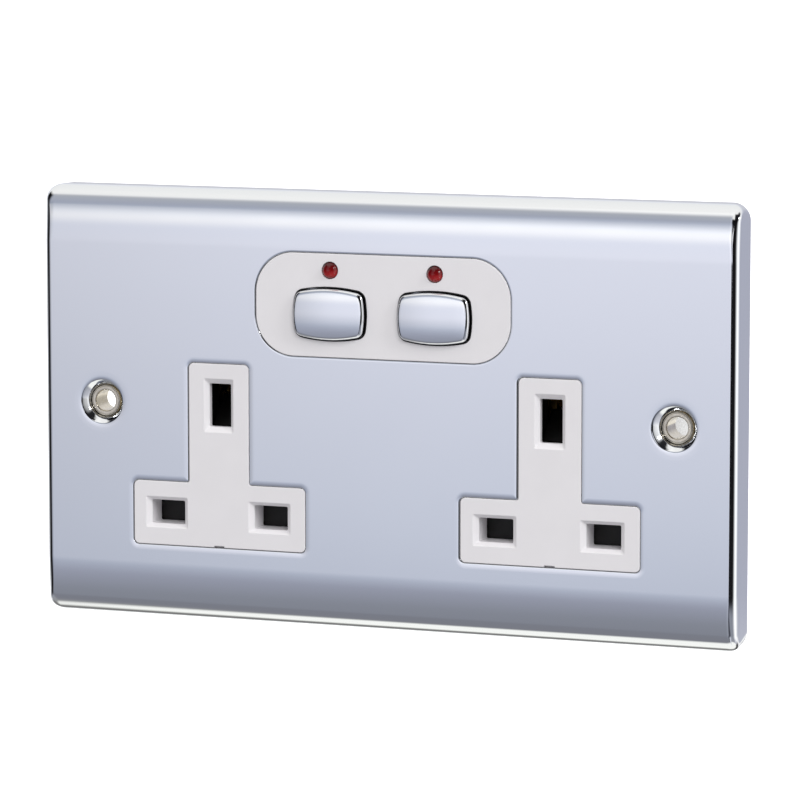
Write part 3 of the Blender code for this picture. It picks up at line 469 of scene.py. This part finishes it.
def boxLoop(halfWidth, halfHeight, radius, centre=(0.0, 0.0), steps=12, lead=0.35):
    # a rounded rectangle, or a stack of them when the sizes are arrays
    sizes = (np.asarray(value, float) for value in (halfWidth, halfHeight, radius))
    w, h, r = np.broadcast_arrays(*sizes)
    signs = ((1, 1), (-1, 1), (-1, -1), (1, -1))
    corners = np.stack([np.stack([s * w, t * h], -1) for s, t in signs], -2)
    return roundedLoop(corners + np.array(centre), np.stack([r] * 4, -1), steps, lead)


def ringLoop(radius, centre=(0.0, 0.0), steps=96):
    # a circle, or a stack of them when the radius is an array
    angle = 2 * np.pi * np.arange(steps) / steps
    circle = np.stack([np.cos(angle), np.sin(angle)], -1)
    return np.asarray(radius, float)[..., None, None] * circle + np.array(centre)


def sweep(loops, depths, smooth=True):
    # a stack of closed outlines (x, z), each at its own depth y
    loops, depths = np.asarray(loops), np.asarray(depths, float)
    depth = np.broadcast_to(depths[:, None], loops.shape[:2])
    points = np.stack([loops[..., 0], depth, loops[..., 1]], -1)
    return points.reshape(-1, 3), gridFaces(*loops.shape[:2]), smooth


tiny = 1e-9                    # lengths below this count as nothing


def fill(outer, holes, depth):
    # a flat face between an outline and its holes: a net of triangles that keeps to all their
    # edges, less those whose middles lie outside the outline or in a hole
    loops = [outer, *holes]
    starts = np.cumsum([0] + [len(loop) for loop in loops])
    rings = [np.arange(len(loop)) for loop in loops]
    edges = np.concatenate([start + np.stack([ring, np.roll(ring, -1)], -1)
                            for start, ring in zip(starts, rings)])
    flat = np.concatenate(loops).tolist()
    points, _, faces, *_ = delaunay_2d_cdt(flat, edges.tolist(), [], 0, tiny)
    points, faces = np.array(points, float), np.array(faces)
    middle = points[faces].mean(1)

    def inside(loop):
        # odd number of crossings of a ray to the right
        a, b = loop, np.roll(loop, -1, 0)
        u, v = middle[:, :1], middle[:, 1:]
        crosses = (a[:, 1] > v) != (b[:, 1] > v)
        rise = np.where(b[:, 1] == a[:, 1], tiny, b[:, 1] - a[:, 1])
        place = (b[:, 0] - a[:, 0]) * (v - a[:, 1]) / rise + a[:, 0]
        return (crosses & (u < place)).sum(1) % 2 == 1

    keep = inside(outer)
    for loop in holes:
        keep &= ~inside(loop)
    solid = np.stack([points[:, 0], np.full(len(points), float(depth)), points[:, 1]], -1)
    return solid, faces[keep], False


def quarter(steps):
    # sine and cosine from 0 to 90 degrees
    angle = np.radians(np.linspace(0, 90, steps + 1))
    return np.sin(angle), np.cos(angle)


def edgeRoll(radius, steps=6):
    # outward and backward travel over a rounded edge, from the face to the side: the radius times
    # sine less one, and times one less cosine
    sin, cos = quarter(steps)
    return radius * (sin - 1), radius * (1 - cos)


def smoothPath(points, steps=8):
    # a smooth curve through a few points: between two of them a cubic of the share t, whose slope
    # at a point is half of what leads from the point before to the one after
    p = np.asarray(points, float)
    p = np.concatenate([2 * p[:1] - p[1:2], p, 2 * p[-1:] - p[-2:-1]])
    t = np.linspace(0, 1, steps, endpoint=False)[None, :, None]
    a, b, c, d = (p[i:len(p) - 3 + i][:, None, :] for i in range(4))
    curve = 0.5 * (2 * b + (c - a) * t + (2 * a - 5 * b + 4 * c - d) * t**2
                   + (3 * b - a - 3 * c + d) * t**3)
    return np.concatenate([curve.reshape(-1, p.shape[1]), p[-2:-1]])


weldDistance = 0.0002


def buildPiece(name, patches, slotName, body, replaced=(), sharp=40):
    # the patches' points and faces as one mesh, welded where they meet, its edges sharp where the
    # faces turn by more than the given degrees
    points = np.concatenate([patch[0] for patch in patches]) * mm
    starts = np.cumsum([0] + [len(patch[0]) for patch in patches])
    faces = sum(((patch[1] + start).tolist() for start, patch in zip(starts, patches)), [])
    smooth = np.concatenate([np.full(len(patch[1]), patch[2]) for patch in patches])
    mesh = bpy.data.meshes.new(name)
    mesh.from_pydata(points.tolist(), [], faces)
    mesh.polygons.foreach_set("use_smooth", smooth)
    bm = bmesh.new()
    bm.from_mesh(mesh)
    bmesh.ops.remove_doubles(bm, verts=bm.verts, dist=weldDistance * mm)
    bmesh.ops.recalc_face_normals(bm, faces=bm.faces)
    openEdges = [edge for edge in bm.edges if not edge.is_manifold]
    if openEdges:
        print(name, "isn't closed: open edges", len(openEdges))
    bm.to_mesh(mesh)
    bm.free()
    smooth = np.empty(len(mesh.polygons), bool)
    mesh.polygons.foreach_get("use_smooth", smooth)
    mesh.set_sharp_from_angle(angle=math.radians(sharp))
    mesh.polygons.foreach_set("use_smooth", smooth)      # the flat faces stay flat mirrors
    mesh.materials.append(looks[slotName])
    piece = bpy.data.objects.new(name, mesh)
    bpy.context.scene.collection.objects.link(piece)
    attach(piece, body)
    if replaced:
        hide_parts(*replaced)


# Socket inserts: a T with three slots, flush in the plate

plateDepth = 8.0               # how far the plate's face stands off the wall
front = -plateDepth
insert = {
    "centre": 34.9,
    "leg": 6.40, "arm": 18.45,         # half widths
    "top": 8.6, "shoulder": -15.6, "bottom": -28.4,
    "corner": 1.0, "innerCorner": 0.6, "leastCorner": 0.15,
    "ease": 0.05,                      # how far the moulding fills its nominal outline
    "edge": 0.18,                      # moulded edge radius
    "flange": 2.0,
    "flangeFront": -6.7, "flangeBack": -5.5,
    # ejector notch at the foot; its sides lean by the draft
    "notch": {"width": 2.2, "height": 0.3, "depth": 1.0, "draft": 0.03},
}
slots = {
    # centre from the insert's, half size, how much wider the chamfer is at the face, depth of the
    # way in, and the step behind it: a pocket behind the earth slot, a sleeve's wall at the others
    "earth": {"at": (0.0, 0.25), "half": (2.32, 4.35), "chamfer": (0.80, 1.00),
              "deep": 2.2, "step": 1.2},
    "neutral": {"at": (-11.35, -21.85), "half": (3.575, 2.40), "chamfer": (0.90, 0.70),
                "deep": 5.7, "step": 0.6},
    "line": {"at": (10.85, -21.9), "half": (3.575, 2.40), "chamfer": (0.90, 0.70),
             "deep": 5.7, "step": 0.6},
}
slotShape = {
    "chamferDepth": 1.0, "mouthEdge": 0.12, "corner": 0.3,
    # round the mouth's edge: shares of its radius outward and back, and of the chamfer's width
    "mouth": [(1.0, 0.0, 1.0), (0.35, 0.2, 1.0), (0.0, 1.0, 0.94)],
}


def teeLoop(sign, grow, notched=0.0):
    # the T grown all round; grow may be an array, and so may notched, 1 where the foot has a notch
    grow = np.asarray(grow, float)
    leg, arm = insert["leg"] + grow, insert["arm"] + grow
    top, shoulder = insert["top"] + grow, insert["shoulder"] + grow
    bottom = insert["bottom"] - grow
    centre = sign * insert["centre"]
    u = np.stack([arm, arm, leg, leg, -leg, -leg, -arm, -arm], -1) + centre
    v = np.stack([bottom, shoulder, shoulder, top, top, shoulder, shoulder, bottom], -1)
    outer = insert["corner"] + grow
    inner = np.maximum(insert["innerCorner"] - grow, insert["leastCorner"])
    radii = np.stack([outer, outer, inner, outer, outer, inner, outer, outer], -1)
    loops = roundedLoop(np.stack([u, v], -1), radii, steps=10, lead=0.25)
    notch = insert["notch"]
    half, draft, height = notch["width"] / 2, notch["draft"], notch["height"]
    across = np.array([-half - draft, -half, half, half + draft]) + centre
    rise = np.array([0.0, height, height, 0.0]) * np.asarray(notched, float)[..., None]
    foot = np.stack(np.broadcast_arrays(across, bottom[..., None] + rise), -1)
    return np.concatenate([loops, foot], -2)


def slotLoops(sign, slot, grow, taper):
    # rectangles grown by a margin and by a share of the chamfer
    halfWidth = slot["half"][0] + grow + taper * slot["chamfer"][0]
    halfHeight = slot["half"][1] + grow + taper * slot["chamfer"][1]
    centre = (slot["at"][0] + sign * insert["centre"], slot["at"][1])
    corner = slotShape["corner"] + np.maximum(grow, 0)
    return boxLoop(halfWidth, halfHeight, corner, centre, steps=4, lead=0.2)


def makeInsert(sideName):
    # the T's outline carried back over its edge, past the notch, to the flange; each slot's
    # rectangle carried in over its mouth, down the chamfer and the way in, to the step behind
    sign = sides[sideName]
    out, back = edgeRoll(insert["edge"])
    notchEnd = front + insert["notch"]["depth"]
    flangeFront, flangeBack = insert["flangeFront"], insert["flangeBack"]
    grow = np.concatenate([out + insert["ease"], [insert["ease"]] * 3, [insert["flange"]] * 2])
    depth = np.concatenate([front + back,
                            [notchEnd, notchEnd, flangeFront, flangeFront, flangeBack]])
    outer = teeLoop(sign, grow, np.arange(len(depth)) <= len(back))
    patches = [sweep(outer, depth)]
    mouths, sleeves = [], []
    edge = slotShape["mouthEdge"]
    outward, backward, share = np.array(slotShape["mouth"]).T
    for slot in slots.values():
        wayEnd, step = front + slot["deep"], slot["step"]
        growth = np.concatenate([edge * outward, [0, 0, step, step]])
        taper = np.concatenate([share, [0, 0, 0, 0]])
        depths = np.concatenate([front + edge * backward, [front + slotShape["chamferDepth"],
                                                           wayEnd, wayEnd, flangeBack]])
        loops = slotLoops(sign, slot, growth, taper)
        patches.append(sweep(loops, depths))
        mouths.append(loops[0])
        sleeves.append(loops[-1])
    patches.append(fill(outer[0], mouths, front))
    patches.append(fill(outer[-1], sleeves, flangeBack))
    buildPiece(sideName + "_insert_moulding", patches, "white_moulding", "base",
               [sideName + "_socket_insert"], sharp=30)


# Switch panel: an oblong with round ends, two button holes and two indicator holes

panel = {
    "halfWidth": 26.7, "halfHeight": 10.25, "centre": 21.25, "corner": 8.0,
    "ease": 0.05, "edge": 0.18, "holeEdge": 0.10,
    "flange": 2.0, "flangeFront": -6.7, "back": -5.5,
}
button = {
    "spread": 11.0, "height": 19.55,
    "halfWidth": 7.45, "halfHeight": 5.05,
    "bulge": (0.55, 0.85),             # how far the ends and the long sides swell
    "corner": 1.0, "fullness": 1.1,    # of the corner's bend
    "gap": 0.37,                       # to the panel's hole
    "paintedShadeLiner": 0.22, "paintedShadeLinerTop": 0.12,   # the black liner in that hole, painted shade of the gap: thickness, depth of its top
    "edge": 0.55, "edgeStart": 0.15,   # radius between face and skirt, and room below it
    "rise": 0.99,                      # of the skirt's top above the panel
    "dome": (0.19, 0.30),              # how far the face swells across and up
    "lean": 0.10,                      # share by which the swell sits below the middle
    "rings": 24,                       # on the face
    "lip": 1.0, "lipFront": -5.2, "skirtEnd": -4.4,
    "stem": 2.1, "stemCorner": 0.2, "stemEnd": -1.8,     # the stem that presses the switch
}
led = {
    "height": 28.25, "radius": 1.67, "gap": 0.04, "rise": 1.0,
    "flange": 2.2, "flangeFront": -5.2, "flangeBack": -4.4,
    "leadOffset": 1.27, "leadHalf": 0.25, "leadCorner": 0.06, "leadEnd": 2.7,
}


def barrelLoop(sign, grow, steps=14, cornerSteps=10):
    # a rectangle whose sides are shallow arcs, joined at the corners by cubic bends that leave
    # each side along its own direction; grow may be an array
    grow = np.asarray(grow, float)
    halfWidth, halfHeight = button["halfWidth"] + grow, button["halfHeight"] + grow
    swellX, swellZ = button["bulge"]
    radius = button["corner"] + grow
    share = np.linspace(-1, 1, 2 * steps + 1)

    def side(along, across, swell):
        # points along a side, its middle furthest out
        s = share * (along[..., None] - radius[..., None])
        return s, across[..., None] - swell * (s / along[..., None]) ** 2

    topU, topV = side(halfWidth - swellX, halfHeight, swellZ)
    endU, endV = side(halfHeight - swellZ, halfWidth, swellX)
    top = np.stack([-topU, topV], -1)
    leftEnd = np.stack([-endV, -endU], -1)
    lines = [top, leftEnd, -top, -leftEnd]
    t = np.linspace(0, 1, cornerSteps + 2)[1:-1]
    cubics = [2 * t**3 - 3 * t**2 + 1, t**3 - 2 * t**2 + t, -2 * t**3 + 3 * t**2, t**3 - t**2]
    loops = []
    for line, following in zip(lines, lines[1:] + lines[:1]):
        start, end = line[..., -1, :], following[..., 0, :]
        leaving, arriving = start - line[..., -2, :], following[..., 1, :] - end
        leaving /= np.linalg.norm(leaving, axis=-1, keepdims=True)
        arriving /= np.linalg.norm(arriving, axis=-1, keepdims=True)
        pull = np.linalg.norm(end - start, axis=-1, keepdims=True) * button["fullness"]
        terms = [start, leaving * pull, end, arriving * pull]
        bend = sum(cubic[:, None] * term[..., None, :] for cubic, term in zip(cubics, terms))
        loops += [line, bend]
    return np.concatenate(loops, -2) + np.array([sign * button["spread"], button["height"]])


def panelLoop(grow):
    # the oblong grown all round; grow may be an array
    grow = np.asarray(grow, float)
    return boxLoop(panel["halfWidth"] + grow, panel["halfHeight"] + grow, panel["corner"] + grow,
                   (0.0, panel["centre"]), steps=28, lead=0.25)


def makePanel():
    # the oblong carried back over its edge to the flange, and each hole straight through
    out, back = edgeRoll(panel["edge"])
    grow = np.concatenate([out + panel["ease"], [panel["ease"]], [panel["flange"]] * 2])
    depth = np.concatenate([front + back,
                            [panel["flangeFront"], panel["flangeFront"], panel["back"]]])
    outer = panelLoop(grow)
    patches = [sweep(outer, depth)]
    inward, sink = edgeRoll(panel["holeEdge"], 4)
    through = np.concatenate([front + sink, [panel["back"]]])
    mouth = np.append(-inward, 0.0)
    wall = led["radius"] + led["gap"]
    fronts, backs = [], []
    for sign in sides.values():
        rings = ringLoop(wall + mouth, (sign * button["spread"], led["height"]), 48)
        for loops in (barrelLoop(sign, button["gap"] + mouth), rings):
            patches.append(sweep(loops, through))
            fronts.append(loops[0])
            backs.append(loops[-1])
    patches.append(fill(outer[0], fronts, front))
    patches.append(fill(outer[-1], backs, panel["back"]))
    buildPiece("switch_panel_moulding", patches, "white_moulding", "base", ["switch_panel"],
               sharp=30)


def makeButton(sideName):
    # skirt, rolled edge and face, all pushed out by a dome: one height times one minus the square
    # of the share across, plus another times one minus the square of the share up; a lip and a
    # stem behind
    sign = sides[sideName]
    sin, cos = quarter(12)
    edge, top = button["edge"], front - button["rise"]
    lipFront, skirtEnd = button["lipFront"], button["skirtEnd"]
    grow = np.concatenate([[button["lip"]] * 2, [0.0, 0.0], edge * (cos - 1)])
    depth = np.concatenate([[skirtEnd, lipFront, lipFront, top + edge + button["edgeStart"]],
                            top + edge * (1 - sin)])
    skirt = barrelLoop(sign, grow)
    face = skirt[-1]
    middle = np.array([sign * button["spread"], button["height"]])
    share = np.linspace(1, 0, button["rings"] + 2)[1:-1]
    rings = middle + (face - middle) * share[:, None, None]
    points, faces, _ = sweep(np.concatenate([skirt, rings]),
                             np.concatenate([depth, np.full(len(share), top)]))
    points = np.concatenate([points, [[middle[0], top, middle[1]]]])
    across = (points[:, 0] - middle[0]) / button["halfWidth"]
    up = (points[:, 2] - middle[1]) / button["halfHeight"]
    domeX, domeZ = button["dome"]
    swell = domeX * (1 - across**2) + domeZ * (1 - (up + button["lean"]) ** 2)
    onFace = points[:, 1] < lipFront - weldDistance
    points[:, 1] -= np.where(onFace, swell, 0)
    ring = len(points) - 1 - len(face) + np.arange(len(face))
    cap = np.stack([ring, np.roll(ring, -1), np.full(len(face), len(points) - 1)], -1)
    stem = boxLoop([button["stem"]] * 2, button["stem"], button["stemCorner"], middle,
                   steps=3, lead=0.1)
    patches = [(points, faces, True), (points, cap, True), fill(skirt[0], [stem[0]], skirtEnd),
               sweep(stem, [skirtEnd, button["stemEnd"]]), fill(stem[1], [], button["stemEnd"])]
    buildPiece(sideName + "_button_cap", patches, "button_chrome", sideName + "_push_button",
               [sideName + "_button"])


def makePaintedShadeLiner(sideName):
    # the dark line round a button, painted shade of the deep gap round it: a thin black sleeve in
    # the panel's hole, its outline the button's grown twice
    outer, inner = button["gap"], button["gap"] - button["paintedShadeLiner"]
    loops = barrelLoop(sides[sideName], np.array([outer, outer, inner, inner]))
    top = front + button["paintedShadeLinerTop"]
    depths = np.array([panel["back"], top, top, panel["back"]])
    patches = [sweep(loops, depths, False), sweep(loops[[3, 0]], depths[[3, 0]], False)]
    buildPiece(sideName + "_button_painted_shade_liner", patches, "black_plastic", "base")


def turnedPiece(name, profile, centre, slotName, replaced, steps, closed=False):
    # a profile of (radius, depth) turned about a line along y; a radius of 0 closes at a pole
    loops = ringLoop(profile[:, 0], centre, steps)
    patches = [sweep(loops, profile[:, 1])]
    if closed:
        patches.append(sweep(loops[[-1, 0]], profile[[-1, 0], 1]))
    buildPiece(name, patches, slotName, "base", [replaced], sharp=35)


def makeLed(sideName):
    # a flange, a short barrel and a half ball, turned; two square leads behind
    radius, flange, flangeBack = led["radius"], led["flange"], led["flangeBack"]
    centre = (sides[sideName] * button["spread"], led["height"])
    sin, cos = quarter(14)
    dome = np.stack([radius * cos, front - led["rise"] + radius * (1 - sin)], -1)
    profile = np.concatenate([[(0.0, flangeBack), (flange, flangeBack),
                               (flange, led["flangeFront"]), (radius, led["flangeFront"])], dome])
    turnedPiece(sideName + "_led_lens", profile, centre, "red_lens",
                sideName + "_indicator_led", 64)
    half, end = led["leadHalf"], led["leadEnd"]
    patches = []
    for lead in (-1, 1):
        leadCentre = (centre[0] + lead * led["leadOffset"], centre[1])
        loops = boxLoop([half] * 2, half, led["leadCorner"], leadCentre, steps=2, lead=0.02)
        patches += [sweep(loops, [flangeBack, end]), fill(loops[0], [], flangeBack),
                    fill(loops[1], [], end)]
    buildPiece(sideName + "_led_leads", patches, "steel", "base")


# Face plate, with a dimple drawn into it at each fixing hole

plate = {
    "halfWidth": 72.9, "halfHeight": 43.5,
    "sheet": 1.0,
    "sideFold": 1.6,           # radius of the tight folds at left and right
    "cornerFold": (0.5, 1.0),  # over the crown it first swells, then shrinks towards the corner
    "leastFold": 0.08,
    "endFold": 4.2,            # radius of the folds at top and bottom
    "crownStart": 11.4,        # from the top edge to where the face begins to lean back
    "crownTilt": 7.0,          # degrees that it leans before the fold
    "cornerDepths": (0, 4.6, 8.0),     # radius of the plan's corners at three depths
    "corners": (0.4, 2.6, 3.5),
    "leastCorner": 0.25,
    "wallDepths": (5.6, 6.8),  # further outlines on the wall
    "rimEdge": 0.12,
    "holeGap": 0.14,           # from an insert's nominal outline to the plate's cut edge
    "panelRoll": 0.38,         # width of the roll at the panel's hole as a share of the others'
    "crownSteps": 44, "foldSteps": 30, "cornerSteps": 48,
    # how the sheet rolls in at a punched hole: (distance outside the cut edge, depth)
    "holeRoll": [(1.1, 0.0), (0.85, 0.003), (0.6, 0.010), (0.4, 0.020), (0.25, 0.032),
                 (0.15, 0.043), (0.09, 0.053), (0.04, 0.080), (0.01, 0.14), (0.0, 0.30)],
    "fixingCentre": 60.3,
    # (radius, depth) down the front of a dimple, a steep cone with a soft lip, and up its back
    "dimpleFront": [(6.1, 0.0), (5.3, 0.006), (4.85, 0.020), (4.56, 0.050), (4.42, 0.105),
                    (4.31, 0.19), (4.12, 0.36), (3.88, 0.59), (3.62, 0.85), (3.42, 1.09),
                    (3.30, 1.34), (3.25, 1.65), (3.22, 2.00), (3.12, 2.22), (2.9, 2.28)],
    "dimpleBack": [(2.9, 2.9), (3.3, 2.9), (3.9, 2.45), (4.4, 1.85), (4.9, 1.35), (5.5, 1.07),
                   (6.2, 1.0)],
}
# lean of the face before the fold, height of the leaning part, and depth of the fold's centre
crownTilt = math.radians(plate["crownTilt"])
crownRun = plate["crownStart"] - plate["endFold"] * (1 - math.sin(crownTilt))
foldDepth = crownRun * math.tan(crownTilt) / 2 + plate["endFold"] * math.cos(crownTilt)


def plateProfile(inset):
    # half height and depth over the crown, whose slope grows evenly, then round the fold and down
    # the wall
    share = np.linspace(0, 1, plate["crownSteps"] + 1)
    slope = np.arctan(share * math.tan(crownTilt))
    crown = np.stack([
        plate["halfHeight"] - plate["crownStart"] + share * crownRun - inset * np.sin(slope),
        share**2 * crownRun * math.tan(crownTilt) / 2 + inset * np.cos(slope),
    ], -1)
    angle = np.linspace(crownTilt, math.pi / 2, plate["foldSteps"] + 1)[1:]
    radius = plate["endFold"] - inset
    fold = np.stack([
        plate["halfHeight"] - plate["endFold"] + radius * np.sin(angle),
        foldDepth - radius * np.cos(angle),
    ], -1)
    wallDepths = [*plate["wallDepths"], plateDepth - plate["rimEdge"], plateDepth]
    wall = [(plate["halfHeight"] - inset, depth) for depth in wallDepths]
    return np.concatenate([crown, fold, wall])


def crownDepth(z, inset):
    # depth of the face at a height, the other way round: flat, crown, then the fold's circle
    rise = np.clip(z - (plate["halfHeight"] - plate["crownStart"]), 0, None)
    middle, radius = plate["halfHeight"] - plate["endFold"], plate["endFold"] - inset
    fold = foldDepth - np.sqrt(np.clip(radius**2 - (z - middle) ** 2, 0, None))
    crown = rise**2 * math.tan(crownTilt) / (2 * crownRun) + inset
    return np.where(z > middle + radius * math.sin(crownTilt), fold, crown)


def plateLoops(inset):
    # the outline at each depth: a rounded rectangle, less what the side fold takes off at every
    # height, which is the circle of the fold measured down from the crowned face; heights crowd
    # towards the end
    halfHeight, depth = plateProfile(inset).T[:, :, None]
    fold = plate["sideFold"] - inset
    rim = np.zeros_like(depth)
    rim[-1] = plate["rimEdge"] if inset == 0 else -plate["rimEdge"]
    corner = np.interp(depth, plate["cornerDepths"], plate["corners"]) - inset
    corner = np.maximum(corner, plate["leastCorner"])
    foldFoot = np.interp(depth - fold, depth[:, 0], halfHeight[:, 0])
    low = np.minimum(halfHeight - corner, np.where(depth - fold > inset, foldFoot, halfHeight[0]))
    share = np.linspace(0, 1, plate["cornerSteps"] + 1)
    z = halfHeight - (halfHeight - low) * (1 - share) ** 2
    over = np.clip(z - (halfHeight - corner), 0, corner)
    up = (z - plate["halfHeight"] + plate["crownStart"]) / plate["crownStart"]
    up = np.clip(up, 0, 1)
    swell, drop = plate["cornerFold"]
    fold = plate["sideFold"] + swell * up * (1 - up) - drop * up**4 - inset
    fold = np.maximum(fold, plate["leastFold"])
    below = np.clip(depth - crownDepth(z, inset), 0, fold)
    x = plate["halfWidth"] - inset - corner + np.sqrt(corner**2 - over**2)
    x -= fold - np.sqrt(fold**2 - (fold - below) ** 2)
    turn = np.stack([x - rim, z - rim], -1)              # a quarter of the outline
    parts = [turn, turn[:, ::-1] * (-1, 1), -turn, turn[:, ::-1] * (1, -1)]
    return np.concatenate(parts, 1), front + depth[:, 0]


def makePlate():
    # outlines of the front, then those of the back one sheet thickness further in; each hole's
    # outline carried over the roll and through the sheet, and each dimple's profile turned
    frontLoops, frontDepths = plateLoops(0.0)
    backLoops, backDepths = plateLoops(plate["sheet"])
    patches = [sweep(np.concatenate([frontLoops, backLoops[::-1]]),
                     np.concatenate([frontDepths, backDepths[::-1]]))]
    inside = front + plate["sheet"]
    roll = smoothPath(plate["holeRoll"], 4)
    cutDepths = np.concatenate([front + roll[:, 1], [inside]])
    away = np.append(roll[:, 0], 0.0)
    # the panel's hole lies close to the crown, so its edge rolls in over a shorter way
    panelGrow = plate["holeGap"] + plate["panelRoll"] * away
    holes = [teeLoop(sign, plate["holeGap"] + away) for sign in sides.values()]
    stacks = [(loops, cutDepths) for loops in [*holes, panelLoop(panelGrow)]]
    dimple = np.concatenate([smoothPath(plate["dimpleFront"]), smoothPath(plate["dimpleBack"])])
    for sign in sides.values():
        rings = ringLoop(dimple[:, 0], (sign * plate["fixingCentre"], 0.0), 120)
        stacks.append((rings, front + dimple[:, 1]))
    patches += [sweep(loops, depths) for loops, depths in stacks]
    patches.append(fill(frontLoops[0], [loops[0] for loops, _ in stacks], front))
    patches.append(fill(backLoops[0], [loops[-1] for loops, _ in stacks], inside))
    buildPiece("face_plate_pressing", patches, "plate_chrome", "base", ["faceplate"])


# Fixing bushes: a tube through the plate and the strap, its front spun over in the dimple

bush = {
    "tube": 2.6,               # outer radius
    "end": -0.6,               # y of the back end
    # (radius, y) from the bore over the collar's flat face and a fine groove to the tube
    "collar": [(2.13, -5.3), (2.13, -5.90), (2.16, -6.05), (2.22, -6.13), (2.30, -6.16),
               (2.42, -6.166), (2.60, -6.168), (2.78, -6.166), (2.84, -6.15), (2.87, -6.13),
               (2.90, -6.15), (2.96, -6.16), (3.04, -6.14), (3.11, -6.05), (3.15, -5.90),
               (3.15, -5.72)],
}


def makeBush(sideName):
    # bore, collar and tube as one profile, turned
    tube, end, collar = bush["tube"], bush["end"], bush["collar"]
    profile = np.concatenate([[(collar[0][0], end)], smoothPath(collar, 6),
                              [(tube, collar[-1][1]), (tube, end)]])
    turnedPiece(sideName + "_spun_bush", profile, (sides[sideName] * plate["fixingCentre"], 0.0),
                "bush_nickel", sideName + "_fixing_bush", 96, closed=True)


makePlate()
print("face plate done")
for sideName in sides:
    makeInsert(sideName)
    makeButton(sideName)
    makePaintedShadeLiner(sideName)
    makeLed(sideName)
    makeBush(sideName)
makePanel()
print("inserts, panel, buttons, lenses and bushes done")

# each shutter's spring stands on its peg, and shortens from 7.7 to 2.7 mm as the shutter comes
# down; here each spring only gets a mesh of its own, unchanged
for sideName in sides:
    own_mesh(frame["nodes"][sideName + "_shutter_spring"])
